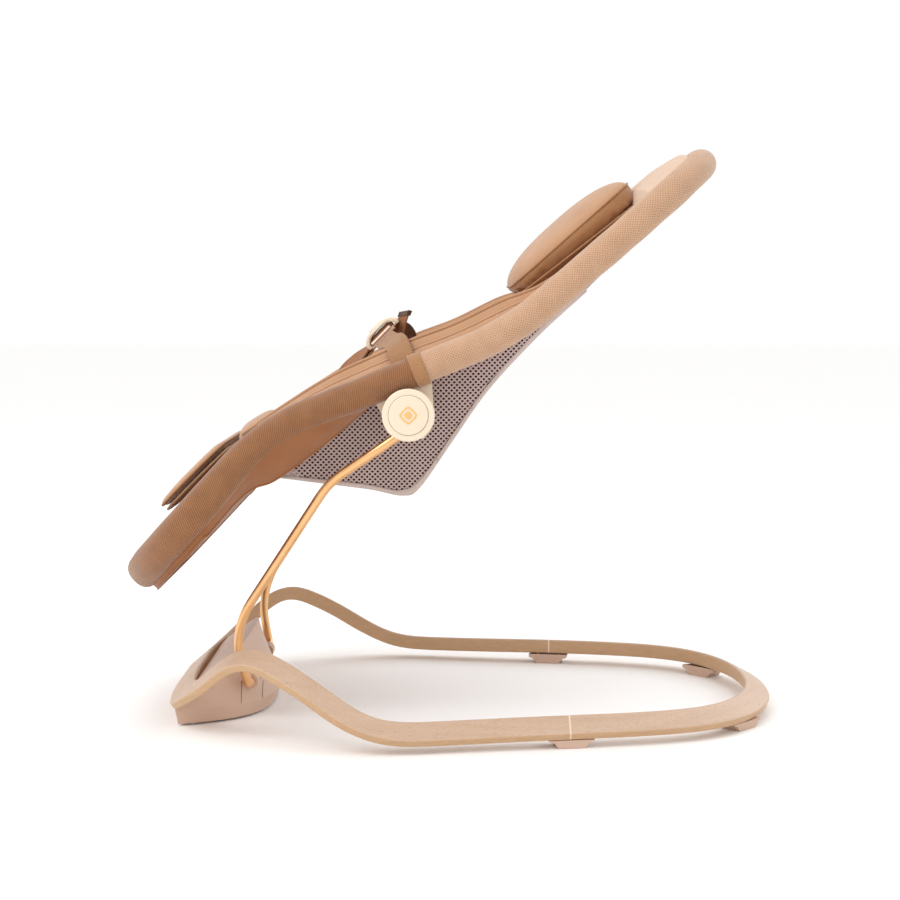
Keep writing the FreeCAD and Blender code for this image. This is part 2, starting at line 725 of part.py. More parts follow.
def bucket_sections(stations, thickness, part):
    """Flat quadrilaterals of one wall of the bucket at each station."""
    sections = []
    for top, bottom in stations:
        top = Vector(*top)
        bottom = Vector(*bottom)
        inward = Vector(0, -thickness, 0)
        if part == "side":
            sections.append([top, bottom, bottom + inward, top + inward])
        else:
            down = bottom - top
            down.y = 0
            lift = down.normalize() * -thickness
            left = Vector(bottom.x, -bottom.y + thickness + 0.4, bottom.z)
            right = Vector(bottom.x, bottom.y - thickness - 0.4, bottom.z)
            sections.append([left, right, right + lift, left + lift])
    return sections


def build_bucket():
    """Mesh sides, the panel of the seat's bottom and back, and the plain panel under the legs."""
    thick = dim("panel_thickness")
    for name, side in SIDES.items():
        panel = loft_strip(bucket_sections(BUCKET, thick, "side"))
        if side < 0:
            panel = panel.mirror(Vector(0, 0, 0), Vector(0, 1, 0))
        solid_feature("side_mesh_" + name, panel)
    back = loft_strip(bucket_sections(BUCKET, thick, "base"))
    slope = Vector(0.66, 0, -0.75) * thick
    head = []
    for x, y, z in HEAD_PANEL:
        inner = [Vector(x, -y, z) - slope, Vector(x, y, z) - slope]
        head.append([Vector(x, -y, z), Vector(x, y, z), inner[1], inner[0]])
    head[0] = [Vector(HEAD_PANEL[0][0] + 0.2, p.y, p.z) for p in head[0]]
    solid_feature("seat_base_panel", back)
    solid_feature("head_panel", loft_strip(head))
    solid_feature("under_panel", loft_strip(bucket_sections(FOOT_PANEL, thick, "base")))
    for name, side in SIDES.items():
        gusset = loft_strip(bucket_sections(FOOT_PANEL, thick, "side"))
        if side < 0:
            gusset = gusset.mirror(Vector(0, 0, 0), Vector(0, 1, 0))
        solid_feature("leg_gusset_" + name, gusset)


# Liner stations: raised edge (x, y, z), middle (x, z), and the trough's corner as its
# distance from the middle plane and its share of the way up from middle to edge
LINER = [
    ((-214, 122, 290), (-212, 277), (98, 0.3)),
    ((-176, 136, 316), (-171, 285), (112, 0.25)),
    ((-124, 142, 349), (-110, 262), (110, 0.07)),
    ((-80, 144, 370), (-66, 248), (103, 0.04)),
    ((-40, 144, 387), (-30, 262), (103, 0.05)),
    ((0, 144, 402), (6, 308), (108, 0.08)),
    ((45, 146, 424), (44, 356), (120, 0.1)),
    ((88, 150, 442), (86, 406), (130, 0.15)),
    ((150, 148, 490), (152, 474), (130, 0.25)),
    ((205, 124, 536), (207, 528), (100, 0.25)),
]


def build_liner():
    """Padded liner: a trough whose raised sides are sewn to it and rise over the tubes."""
    thick = dim("liner_thickness")
    seam_gap = 0.3
    floor = []
    wall = []
    for edge, middle, (corner_y, share) in LINER:
        edge = Vector(*edge)
        middle = Vector(middle[0], 0, middle[1])
        rise = Vector(edge.x - middle.x, 0, edge.z - middle.z)
        corner = middle + rise * share + Vector(0, corner_y, 0)
        up = Vector(rise).normalize() * thick
        side_in = Vector(0, -thick, 0)
        half = Vector(0, corner_y - thick - seam_gap, 0)
        centre = Vector(corner.x, 0, corner.z)
        floor.append([centre - half, centre + half, centre + half + up, centre - half + up])
        wall.append([edge, corner, corner + side_in, edge + side_in])
    solid_feature("seat_liner", loft_strip(floor))
    for name, side in SIDES.items():
        panel = loft_strip(wall)
        if side < 0:
            panel = panel.mirror(Vector(0, 0, 0), Vector(0, 1, 0))
        solid_feature("liner_side_" + name, panel)


def build_pads():
    """Leg pad and head pillow as plain rounded slabs."""
    leg_line = [(-291, 214), (-290, 224), (-282, 238), (-258, 262), (-237, 281), (-224, 289),
                (-217, 284), (-252, 250)]
    pillow_line = [(57, 441), (56, 446), (62, 460), (75, 477), (92, 492), (113, 511), (133, 525),
                   (146, 534), (159, 538), (171, 537), (179, 529), (178, 521), (120, 470), (80, 444)]
    for label, line, half in (("leg_pad", leg_line, 122.0), ("head_pillow", pillow_line, 108.0)):
        pad = doc.addObject("PartDesign::Body", label)
        sketch = outline_sketch(pad, label + "_profile", line, role="XZ_Plane")
        add_pad(pad, sketch, 2 * half, midplane=True)
        keep(pad, label)


# ---------------------------------------------------------------------------
# Harness
# ---------------------------------------------------------------------------
BUCKLE = Vector(-76, 0, 390)
BUCKLE_ALONG = Vector(0.70, 0, 0.714)
BUCKLE_UP = Vector(-0.714, 0, 0.70)


def ribbon(points, normals, width_dir, width, thickness):
    """Flat strap lofted through points, each with its own face normal and width direction."""
    sections = []
    for point, normal, across in zip(points, normals, width_dir):
        half = across * (width / 2)
        rise = normal * (thickness / 2)
        sections.append([point - half - rise, point + half - rise, point + half + rise, point - half + rise])
    return loft_strip(sections)


def build_harness():
    """Crotch strap, waist straps with their sliders, buckle, tongues and release button."""
    width = dim("webbing_width")
    thick = dim("webbing_thickness")
    frame = Placement(BUCKLE, Rotation(BUCKLE_ALONG, Vector(0, 1, 0), BUCKLE_UP, "XYZ"))

    shell = doc.addObject("PartDesign::Body", "buckle_body")
    outline = [(-20, -13), (-12, -18), (12, -18), (20, -13), (20, 13), (12, 18), (-12, 18), (-20, 13)]
    add_pad(shell, outline_sketch(shell, "buckle_outline", outline, lift=-4), 14.0)
    doc.recompute()
    window = circle_sketch_plain(shell, "buckle_window", 9.0, lift=10)
    add_pocket(shell, window, 4.0)
    shell.Placement = frame
    keep(shell, "buckle_body")

    button = doc.addObject("PartDesign::Body", "buckle_button")
    disc = circle_sketch_plain(button, "buckle_button_disc", 8.6, lift=8.2)
    add_pad(button, disc, 2.8)
    button.Placement = frame
    keep(button, "buckle_button")

    crotch = [Vector(-117, 0, 271.2), Vector(-112, 0, 300), Vector(-102, 0, 345),
              BUCKLE - BUCKLE_ALONG * 20.2]
    headings = [Vector(0.17, 0, 0.98), Vector(0.2, 0, 0.97), Vector(0.35, 0, 0.93), BUCKLE_ALONG]
    normals = [Vector(-h.z, 0, h.x).normalize() for h in headings]
    across = [Vector(0, 1, 0)] * 4
    solid_feature("crotch_strap", ribbon(crotch, normals, across, width, thick))

    for name, side in SIDES.items():
        def flip(x, y, z):
            return Vector(x, side * y, z)

        tongue = Part.makeBox(20, 13.5, 2.4, Vector(-10, 18.2 if side > 0 else -31.7, -1.2))
        solid_feature("buckle_tongue_" + name, tongue, frame)
        points = [BUCKLE + Vector(0, side * 32.0, 0), flip(-70, 90, 391), flip(-63, 130, 392),
                  flip(-59, 150, 388), flip(-58, 157, 376), flip(-58, 160, 362)]
        ahead = Vector(0.75, 0, 0.66)
        faces = [BUCKLE_UP, flip(-0.66, 0.05, 0.75), flip(-0.62, 0.25, 0.72), flip(-0.4, 0.75, 0.53),
                 flip(-0.1, 0.97, 0.2), flip(0, 1, 0.1)]
        wide = [BUCKLE_ALONG, ahead, ahead, Vector(0.86, 0, 0.5), Vector(0.92, 0, 0.38),
                Vector(0.93, 0, 0.37)]
        faces = [f.normalize() for f in faces]
        wide = [w.normalize() for w in wide]
        strap = ribbon(points, faces, wide, width, thick)
        solid_feature("waist_strap_" + name, strap)
        middle = flip(-74.2, 46, 390.3)
        slider = Part.makeBox(30, 12, 5, Vector(-15, -6, -2.5))
        hole = Part.makeBox(25.4, 20, 2.6, Vector(-12.7, -10, -1.3))
        slider = slider.cut(hole)
        turn = Rotation(BUCKLE_ALONG, Vector(0, 1, 0), BUCKLE_UP, "XYZ")
        solid_feature("strap_slider_" + name, slider, Placement(middle, turn))


# ---------------------------------------------------------------------------
# Assembly
# ---------------------------------------------------------------------------
front_ring = build_ring()
build_joiners()
build_housing(front_ring)
build_bushes()
build_feet()
foot_screw_places = [(98, 199), (122, 197), (279, 132)]
screw_group("foot_screws", [Vector(x, side * y, 2.6) for x, y in foot_screw_places for side in (-1, 1)], 12)
screw_group("housing_screws", [Vector(x, y, 4.4) for x in (-262, -226) for y in (-80, 80)], 20)
screw_group("ring_screws", [Vector(-271, y, 14) for y in (-60, -20, 20, 60)], 18)
build_support()
build_buttons()
build_frame()
build_hub_plates()
build_bucket()
build_liner()
build_pads()
build_harness()

doc.recompute()
faults = [o.Name for o in doc.Objects if {"Invalid", "Error"} & set(o.State)]
for node in nodes:
    if node.Shape.isNull() or not node.Shape.isValid() or not node.Shape.Solids:
        faults.append(node.Label)
if faults:
    raise RuntimeError("failed: " + ", ".join(faults))
os.makedirs("parts", exist_ok=True)
for node in nodes:
    node.Shape.exportStep("parts/%s.step" % node.Label)
whole = Part.makeCompound([node.Shape for node in nodes]).BoundBox
print(len(nodes), "nodes;", whole)
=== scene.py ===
"""Looks for the infant bouncer seat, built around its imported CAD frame.

Row frame in metres: +X towards the head end, +Y to the child's right, +Z up, floor at z = 0.
Shapes are written in millimetres and scaled by mm(); left is the y < 0 side, nearest the camera.
"""

import math

import bpy
from mathutils import Matrix, Vector, noise
from mathutils.bvhtree import BVHTree


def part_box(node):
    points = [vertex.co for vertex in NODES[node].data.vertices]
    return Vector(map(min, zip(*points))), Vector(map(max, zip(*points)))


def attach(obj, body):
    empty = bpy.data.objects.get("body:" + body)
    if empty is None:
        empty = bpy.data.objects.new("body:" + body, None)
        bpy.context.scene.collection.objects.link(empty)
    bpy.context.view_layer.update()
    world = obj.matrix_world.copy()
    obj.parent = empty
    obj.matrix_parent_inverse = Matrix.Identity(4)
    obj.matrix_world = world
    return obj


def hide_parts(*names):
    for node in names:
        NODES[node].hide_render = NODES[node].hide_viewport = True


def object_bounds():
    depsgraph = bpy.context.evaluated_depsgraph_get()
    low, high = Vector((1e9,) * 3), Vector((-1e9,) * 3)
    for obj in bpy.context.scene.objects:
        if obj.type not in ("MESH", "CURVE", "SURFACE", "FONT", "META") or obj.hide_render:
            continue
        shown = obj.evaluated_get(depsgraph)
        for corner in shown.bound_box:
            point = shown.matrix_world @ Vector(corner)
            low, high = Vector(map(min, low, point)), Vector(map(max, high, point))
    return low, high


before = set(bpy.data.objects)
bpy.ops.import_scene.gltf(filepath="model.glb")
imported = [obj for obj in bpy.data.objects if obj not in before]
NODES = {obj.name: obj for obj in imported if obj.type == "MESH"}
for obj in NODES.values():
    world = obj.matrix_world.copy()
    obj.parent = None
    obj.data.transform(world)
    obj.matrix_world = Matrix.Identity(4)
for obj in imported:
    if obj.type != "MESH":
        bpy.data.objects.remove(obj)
cad_box = [list(corner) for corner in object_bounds()]
SIDES = {"left": -1, "right": 1}
CLOTH_MAP = "cloth"
WHITE = (1.0, 1.0, 1.0, 1.0)
BLACK = (0.0, 0.0, 0.0, 1.0)


# ---- Camera, light and floor ----
def build_stage():
    """Camera at the viewing angle, soft studio light and a pale floor."""
    data = bpy.data.cameras.new("camera")
    data.lens = 73.12
    data.sensor_width = 36.0
    camera = bpy.data.objects.new("camera", data)
    camera.location = (0.0, -1.924, 0.42907)
    camera.rotation_euler = (math.radians(85.1845), 0.0, math.radians(0.156))
    bpy.context.scene.collection.objects.link(camera)
    bpy.context.scene.camera = camera

    world = bpy.data.worlds.new("studio")
    world.use_nodes = True
    world.node_tree.nodes["Background"].inputs["Color"].default_value = WHITE
    world.node_tree.nodes["Background"].inputs["Strength"].default_value = 1.0
    bpy.context.scene.world = world
    bpy.context.scene.view_settings.view_transform = "Standard"

    # name, place, size, power in watts
    lamps = (
        ("key_light", (-1.5, -1.3, 2.0), 1.4, 22.0),
        ("top_light", (0.2, 0.2, 2.6), 2.0, 10.0),
        ("back_light", (1.5, 1.7, 1.3), 1.2, 8.0),
    )
    for name, place, size, power in lamps:
        lamp = bpy.data.lights.new(name, "AREA")
        lamp.size = size
        lamp.energy = power
        holder = bpy.data.objects.new(name, lamp)
        holder.location = place
        aim = Vector((-0.05, 0.0, 0.3)) - Vector(place)
        holder.rotation_euler = aim.to_track_quat("-Z", "Y").to_euler()
        bpy.context.scene.collection.objects.link(holder)

    floor_half = 14.0
    mesh = bpy.data.meshes.new("floor")
    corners = [(-floor_half, -floor_half, 0), (floor_half, -floor_half, 0),
               (floor_half, floor_half, 0), (-floor_half, floor_half, 0)]
    mesh.from_pydata(corners, [], [(0, 1, 2, 3)])
    floor = bpy.data.objects.new("floor", mesh)
    floor.location.z = cad_box[0][2] - 0.0003
    bpy.context.scene.collection.objects.link(floor)
    paint = Paint("floor_paint", 0.9)
    paint.colour(paint.mix(paint.noise(paint.place(), 3.0), rgb(253, 252, 251), rgb(254, 254, 253)))
    floor.data.materials.append(paint.material)


# ---- Procedural materials ----
def rgb(red, green, blue):
    """Display colour from 0 to 255 as a linear colour."""
    def linear(value):
        value /= 255
        return value / 12.92 if value <= 0.04045 else ((value + 0.055) / 1.055) ** 2.4
    return (linear(red), linear(green), linear(blue), 1.0)


class Paint:
    """One procedural material; the methods that add nodes return their output sockets."""

    def __init__(self, name, roughness, metallic=0.0, sheen=0.0, coat=0.0):
        self.material = bpy.data.materials.new(name)
        self.material.use_nodes = True
        self.tree = self.material.node_tree
        self.shader = self.tree.nodes["Principled BSDF"]
        for socket, value in (("Roughness", roughness), ("Metallic", metallic), ("Sheen Weight", sheen),
                              ("Sheen Roughness", 0.45), ("Coat Weight", coat), ("Coat Roughness", 0.25)):
            self.shader.inputs[socket].default_value = value

    def node(self, kind, *values, **settings):
        """New node with its settings, and values or links for its first inputs."""
        made = self.tree.nodes.new(kind)
        for key, value in settings.items():
            setattr(made, key, value)
        for socket, value in zip(made.inputs, values):
            self.put(socket, value)
        return made

    def put(self, socket, value):
        """Sets a socket to a number or colour, or links another node's output to it."""
        if isinstance(value, bpy.types.NodeSocket):
            self.tree.links.new(value, socket)
        else:
            socket.default_value = value

    def math(self, operation, first, second=0.0):
        return self.node("ShaderNodeMath", first, second, operation=operation).outputs[0]

    def add(self, first, second):
        return self.math("ADD", first, second)

    def minus(self, first, second):
        return self.math("SUBTRACT", first, second)

    def times(self, first, second):
        return self.math("MULTIPLY", first, second)

    def above_zero(self, value):
        return self.math("MAXIMUM", value, 0.0)

    def reach(self, first, second):
        """Length of the diagonal of two lengths."""
        return self.math("SQRT", self.add(self.times(first, first), self.times(second, second)))

    def blend(self, first, share, second, rest):
        """First times its share plus second times the rest."""
        return self.add(self.times(first, share), self.times(second, rest))

    def place(self, scale=(1.0, 1.0, 1.0), cloth=False):
        """Coordinates in metres: of the row frame, or of the cloth's own map."""
        if cloth:
            source = self.node("ShaderNodeUVMap", uv_map=CLOTH_MAP).outputs["UV"]
        else:
            source = self.node("ShaderNodeTexCoord").outputs["Object"]
        mapping = self.node("ShaderNodeMapping")
        mapping.inputs["Scale"].default_value = scale
        self.put(mapping.inputs["Vector"], source)
        return mapping.outputs["Vector"]

    def split(self, vector):
        return self.node("ShaderNodeSeparateXYZ", vector).outputs

    def join(self, x, y, z):
        return self.node("ShaderNodeCombineXYZ", x, y, z).outputs[0]

    def noise(self, vector, scale, detail=3.0):
        made = self.node("ShaderNodeTexNoise", vector)
        made.inputs["Scale"].default_value = scale
        made.inputs["Detail"].default_value = detail
        return made.outputs[0]

    def ridges(self, coordinate, pitch):
        """Wave from 0 to 1 with that pitch in metres."""
        wave = self.math("SINE", self.times(coordinate, 2 * math.pi / pitch))
        return self.add(self.times(wave, 0.5), 0.5)

    def mix(self, factor, first, second):
        made = self.node("ShaderNodeMix", factor, data_type="RGBA")
        colour_inputs = [socket for socket in made.inputs if socket.type == "RGBA"]
        self.put(colour_inputs[0], first)
        self.put(colour_inputs[1], second)
        return next(socket for socket in made.outputs if socket.type == "RGBA")

    def mask(self, factor, low, high):
        """White at low and black at high, with a ramp between them."""
        made = self.node("ShaderNodeValToRGB", factor)
        for element, place in zip(made.color_ramp.elements, sorted((low, high))):
            element.position = place
            element.color = WHITE if place == low else BLACK
        return made.outputs[0]

    def colour(self, socket):
        self.put(self.shader.inputs["Base Color"], socket)

    def roughness(self, socket):
        self.put(self.shader.inputs["Roughness"], socket)

    def bump(self, height, distance):
        """Surface relief from a height of 0 to 1, its depth in metres."""
        made = self.node("ShaderNodeBump")
        made.inputs["Strength"].default_value = 1.0
        made.inputs["Distance"].default_value = distance
        self.put(made.inputs["Height"], height)
        self.put(self.shader.inputs["Normal"], made.outputs[0])

    def cloth(self, relief, uneven, low, high, depth, share=0.62):
        """Colour from low to high by relief and unevenness, and the relief as a bump."""
        self.colour(self.mix(self.blend(relief, share, uneven, 1 - share), low, high))
        self.bump(relief, depth)
        return self.material


def wood_paint():
    """Pale bent oak: grain that follows the oval, with open pores, and painted shade that darkens the sides
    and underside.
    """
    paint = Paint("bent_oak", 0.5, coat=0.08)
    x, y, z = paint.split(paint.place())
    across = paint.math("ABSOLUTE", y)
    rear_turn, front_turn, front_side, rear_half = 0.112, -0.193, 0.122, 0.208
    # rear: half circle about (rear_turn, 0)
    past_rear = paint.above_zero(paint.minus(x, rear_turn))
    rear_angle = paint.math("ARCTAN2", past_rear, across)
    # front: quarter circles about (front_turn, front_side), then a straight run across
    past_front = paint.above_zero(paint.minus(front_turn, x))
    beyond = paint.above_zero(paint.minus(across, front_side))
    front_angle = paint.math("ARCTAN2", past_front, beyond)
    inward = paint.above_zero(paint.minus(front_side, across))
    inward = paint.times(inward, paint.math("GREATER_THAN", past_front, 0.04))
    inner_x = paint.math("MINIMUM", paint.math("MAXIMUM", x, front_turn), rear_turn)
    along = paint.add(inner_x, paint.times(rear_angle, rear_half))
    along = paint.minus(along, paint.times(front_angle, 0.08))
    along = paint.minus(along, inward)
    at_front = paint.math("LESS_THAN", x, 0.0)
    front_off = paint.add(paint.reach(past_front, beyond), front_side)
    rear_off = paint.reach(past_rear, across)
    off = paint.blend(front_off, at_front, rear_off, paint.minus(1.0, at_front))
    grain_place = paint.join(paint.times(along, 0.05), off, z)
    broad = paint.noise(grain_place, 120.0, 4.0)
    fine = paint.noise(grain_place, 620.0, 6.0)
    pores = paint.noise(paint.join(paint.times(along, 0.16), off, z), 1400.0, 2.0)
    face = paint.mix(broad, rgb(188, 156, 132), rgb(212, 186, 164))
    streak = paint.mask(fine, 0.62, 0.38)
    face = paint.mix(paint.times(streak, 0.55), face, rgb(202, 170, 140))
    pore_mask = paint.mask(pores, 0.30, 0.42)
    face = paint.mix(paint.times(pore_mask, 0.5), face, rgb(150, 112, 76))
    # painted shade: faces turned sideways or down get a darker, yellower colour than the upward faces
    normal_up = paint.split(paint.node("ShaderNodeNewGeometry").outputs["Normal"])[2]
    edge = paint.mask(normal_up, 0.05, 0.62)
    shaded_side_colour = paint.mix(fine, rgb(172, 132, 90), rgb(208, 168, 124))
    paint.colour(paint.mix(paint.times(edge, 0.75), face, shaded_side_colour))
    paint.roughness(paint.add(paint.times(fine, 0.2), 0.42))
    paint.bump(paint.minus(fine, paint.times(pore_mask, 0.6)), 0.00012)
    return paint.material


def plastic_paint(name, first, second, roughness=0.42):
    """Moulded plastic: faint mottling and a fine spark-eroded texture."""
    paint = Paint(name, roughness)
    place = paint.place()
    paint.colour(paint.mix(paint.noise(place, 22.0), first, second))
    grain = paint.noise(place, 1500.0, 2.0)
    paint.roughness(paint.add(paint.times(grain, 0.16), roughness - 0.08))
    paint.bump(grain, 0.00006)
    return paint.material


def metal_paint(name, first, second, roughness):
    """Satin metal with faint drawing lines and uneven polish."""
    paint = Paint(name, roughness, metallic=1.0)
    paint.colour(paint.mix(paint.noise(paint.place(), 30.0), first, second))
    lines = paint.noise(paint.place((1.0, 0.12, 1.0)), 900.0, 2.0)
    paint.roughness(paint.add(paint.times(lines, 0.14), roughness - 0.07))
    paint.bump(lines, 0.00002)
    return paint.material


def rib_knit_paint(name, low, high):
    """Fine ribbed jersey: slanting wales crossed by rows of stitches, on the cloth's map."""
    paint = Paint(name, 0.85, sheen=0.35)
    along, across, _ = paint.split(paint.place(cloth=True))
    wales = paint.ridges(paint.blend(along, 0.92, across, 0.39), 0.0019)
    rows = paint.ridges(across, 0.0023)
    stitch = paint.times(wales, paint.add(paint.times(rows, 0.45), 0.55))
    return paint.cloth(stitch, paint.noise(paint.place(), 55.0, 4.0), low, high, 0.00035)


def dot_knit_paint(name, low, high):
    """Spacer knit: small diamond cells on the cloth's map."""
    paint = Paint(name, 0.85, sheen=0.35)
    along, across, _ = paint.split(paint.place(cloth=True))
    rising = paint.ridges(paint.add(along, across), 0.0031)
    falling = paint.ridges(paint.minus(along, across), 0.0031)
    cells = paint.math("MAXIMUM", rising, falling)
    return paint.cloth(cells, paint.noise(paint.place(), 55.0, 4.0), low, high, 0.0004)


def woven_paint(name, low, high, thread=0.0011, sheen=0.3):
    """Soft plain cloth that needs no map: a fine weave in the row frame and slow mottling."""
    paint = Paint(name, 0.88, sheen=sheen)
    place = paint.place()
    x, y, z = paint.split(place)
    weave = paint.times(paint.ridges(paint.add(x, z), thread), paint.ridges(y, thread))
    fibres = paint.noise(place, 900.0, 3.0)
    mottling = paint.noise(place, 34.0, 5.0)
    mixed = paint.add(paint.blend(weave, 0.22, fibres, 0.33), paint.times(mottling, 0.5))
    paint.colour(paint.mix(mixed, low, high))
    paint.bump(paint.blend(weave, 0.6, fibres, 0.4), 0.00018)
    return paint.material


def webbing_paint(name, low, high):
    """Flat webbing: ribs across its length and a herringbone of threads, on the cloth's map."""
    paint = Paint(name, 0.7, sheen=0.2)
    along, across, _ = paint.split(paint.place(cloth=True))
    threads = paint.ridges(across, 0.0012)
    weave = paint.times(paint.ridges(along, 0.0014), paint.add(paint.times(threads, 0.5), 0.5))
    return paint.cloth(weave, paint.noise(paint.place(), 90.0, 3.0), low, high, 0.0003, share=0.6)


def make_paints():
    """Every material, by the name that the pieces ask for."""
    made = {"wood": wood_paint()}
    for key, make, name, low, high, *more in (
            ("cream", plastic_paint, "cream_plastic", (236, 219, 196), (228, 208, 182)),
            ("beige", plastic_paint, "beige_plastic", (207, 176, 156), (198, 166, 144), 0.5),
            ("rubber", plastic_paint, "grey_rubber", (168, 160, 156), (150, 143, 140), 0.7),
            ("steel", metal_paint, "dull_steel", (176, 172, 168), (150, 146, 142), 0.34),
            ("bright", metal_paint, "satin_metal", (206, 176, 158), (168, 134, 116), 0.3),
            ("gold", metal_paint, "copper_steel", (240, 194, 142), (226, 174, 120), 0.34),
            ("emblem", plastic_paint, "gold_print", (236, 190, 122), (228, 178, 108), 0.4),
            ("brown_knit", rib_knit_paint, "brown_knit", (100, 58, 30), (176, 122, 78)),
            ("tan_knit", dot_knit_paint, "tan_knit", (152, 106, 76), (210, 171, 138)),
            ("tan_face", woven_paint, "tan_face", (198, 162, 134), (218, 186, 160)),
            ("band", woven_paint, "band_cloth", (146, 102, 64), (182, 136, 94), 0.0014),
            ("mesh_plain", woven_paint, "mauve_hem", (178, 158, 150), (206, 188, 180), 0.0012),
            ("mesh", woven_paint, "mauve_mesh", (160, 134, 130), (194, 170, 164), 0.0009),
            # near-black cloth: painted shade seen through the mesh sides
            ("lining", woven_paint, "mesh_lining", (34, 22, 18), (60, 42, 36), 0.0012, 0.0),
            ("brown", woven_paint, "brown_cloth", (162, 116, 80), (200, 156, 120)),
            ("welt", woven_paint, "welt_cloth", (176, 132, 98), (200, 158, 124)),
            ("orange", woven_paint, "orange_brown_cloth", (124, 72, 36), (166, 108, 64)),
            ("boxing", woven_paint, "boxing_cloth", (150, 104, 66), (184, 138, 96)),
            # dark webbing: the strap end's hem, and painted shade beside the far waist strap
            ("dark_web", webbing_paint, "dark_webbing", (58, 36, 24), (104, 64, 38)),
            ("amber_web", webbing_paint, "amber_webbing", (120, 72, 36), (176, 116, 66)),
            ("tan_web", webbing_paint, "tan_webbing", (132, 88, 48), (184, 132, 84))):
        made[key] = make(name, rgb(*low), rgb(*high), *more)
    return made


# ---- Mesh helpers ----
def mm(x, y, z):
    """A place in the row frame from millimetres."""
    return Vector((x, y, z)) / 1000


def mirrored(points):
    """The same points on the other side of the middle plane."""
    return [Vector((p.x, -p.y, p.z)) for p in points]


def to_side(rows, side):
    """Rows as they are on the left, or mirrored to the right."""
    return rows if side < 0 else [mirrored(row) for row in rows]


def angles(count):
    """Evenly spaced angles once round."""
    return [2 * math.pi * index / count for index in range(count)]


def vectors(*places):
    """Several places or directions as vectors."""
    return [Vector(place) for place in places]


def pair(stem):
    """The left and right names of a piece that comes twice."""
    return [stem + "_left", stem + "_right"]


def crossing(left, count, lift):
    """Row from a place on the left straight across, moved by lift(share from -1 to 1, place)."""
    row = []
    for j in range(count):
        share = 2 * j / (count - 1) - 1
        place = Vector((left.x, left.y * -share, left.z))
        row.append(place + lift(share, place))
    return row


def make_object(name, corners, faces, flat_map=None, smooth=True):
    """Mesh object at the origin; flat_map gives each face's corners their place on the cloth."""
    mesh = bpy.data.meshes.new(name)
    mesh.from_pydata([tuple(corner) for corner in corners], [], faces)
    if flat_map:
        layer = mesh.uv_layers.new(name=CLOTH_MAP)
        values = [value for face in flat_map for corner in face for value in corner]
        layer.data.foreach_set("uv", values)
    if smooth:
        mesh.shade_smooth()
    mesh.update()
    made = bpy.data.objects.new(name, mesh)
    bpy.context.scene.collection.objects.link(made)
    return made


def skin(name, rows, around=False, caps=False):
    """Surface over rows of points, with its distances along and across as the cloth's map."""
    width = len(rows[0])
    corners = [point for row in rows for point in row]
    along = [0.0]
    for before, after in zip(rows, rows[1:]):
        middle = sum(((b - a).length for a, b in zip(before, after)), 0.0) / width
        along.append(along[-1] + middle)
    across = []
    for row in rows:
        run = [0.0]
        loop = row + row[:1] if around else row
        for a, b in zip(loop, loop[1:]):
            run.append(run[-1] + (b - a).length)
        across.append(run)
    faces = []
    flat = []
    for i in range(len(rows) - 1):
        for j in range(width if around else width - 1):
            k = (j + 1) % width
            faces.append((i * width + j, i * width + k, (i + 1) * width + k, (i + 1) * width + j))
            flat.append(((along[i], across[i][j]), (along[i], across[i][j + 1]),
                         (along[i + 1], across[i + 1][j + 1]), (along[i + 1], across[i + 1][j])))
    if caps:
        for i, order in ((0, range(width - 1, -1, -1)), (len(rows) - 1, range(width))):
            faces.append(tuple(i * width + j for j in order))
            flat.append(tuple((along[i], across[i][j]) for j in order))
    return make_object(name, corners, faces, flat)


def bent_line(points, radii, step=0.004):
    """Places a step apart along straight runs joined by tangent arcs."""
    line = [points[0]]
    for before, corner, after, radius in zip(points, points[1:], points[2:], radii):
        one = (before - corner).normalized()
        two = (after - corner).normalized()
        turn = math.pi - one.angle(two)
        back = radius * math.tan(turn / 2)
        centre = corner + (one + two).normalized() * math.hypot(radius, back)
        start = corner + one * back - centre
        axis = start.cross(corner + two * back - centre).normalized()
        steps = max(6, int(turn * radius / step))
        for index in range(steps + 1):
            line.append(centre + Matrix.Rotation(turn * index / steps, 3, axis) @ start)
    line.append(points[-1])
    return evenly(line, step)


def evenly(line, step=None, count=None):
    """The same polyline with its points evenly spaced."""
    reach = [0.0]
    for a, b in zip(line, line[1:]):
        reach.append(reach[-1] + (b - a).length)
    count = count or max(2, round(reach[-1] / step) + 1)
    made = []
    index = 0
    for number in range(count):
        goal = reach[-1] * number / (count - 1)
        while index < len(line) - 2 and reach[index + 1] < goal:
            index += 1
        span = reach[index + 1] - reach[index]
        share = (goal - reach[index]) / span if span > 0 else 0.0
        made.append(line[index].lerp(line[index + 1], min(max(share, 0.0), 1.0)))
    return made


def curve_through(points, steps=16):
    """Smooth curve through all the points, with the same number of steps between each two."""
    ends = [points[0] * 2 - points[1]] + list(points) + [points[-1] * 2 - points[-2]]
    dense = []
    for a, b, c, d in zip(ends, ends[1:], ends[2:], ends[3:]):
        for index in range(steps):
            t = index / steps
            dense.append(0.5 * ((2 * b) + (c - a) * t + (2 * a - 5 * b + 4 * c - d) * t * t
                                + (3 * b - a - 3 * c + d) * t ** 3))
    dense.append(points[-1])
    return dense


def carried_frames(line, up):
    """For each point of a line: the point, its heading, and a side and an up that turn with it."""
    made = []
    heading = (line[1] - line[0]).normalized()
    up = (up - heading * up.dot(heading)).normalized()
    for index, point in enumerate(line):
        ahead = line[min(index + 1, len(line) - 1)] - line[max(index - 1, 0)]
        ahead.normalize()
        up = heading.rotation_difference(ahead) @ up
        heading = ahead
        made.append((point, heading, heading.cross(up).normalized(), up.copy()))
    return made


def tube(name, line, radius, up=Vector((0, 0, 1)), sides=10, closed=False):
    """Round cord of constant radius along a line."""
    rows = []
    for point, _, side, rise in carried_frames(line, up):
        rows.append([point + (side * math.cos(angle) + rise * math.sin(angle)) * radius
                     for angle in angles(sides)])
    if closed:
        rows.append(rows[0])
    return skin(name, rows, around=True, caps=not closed)


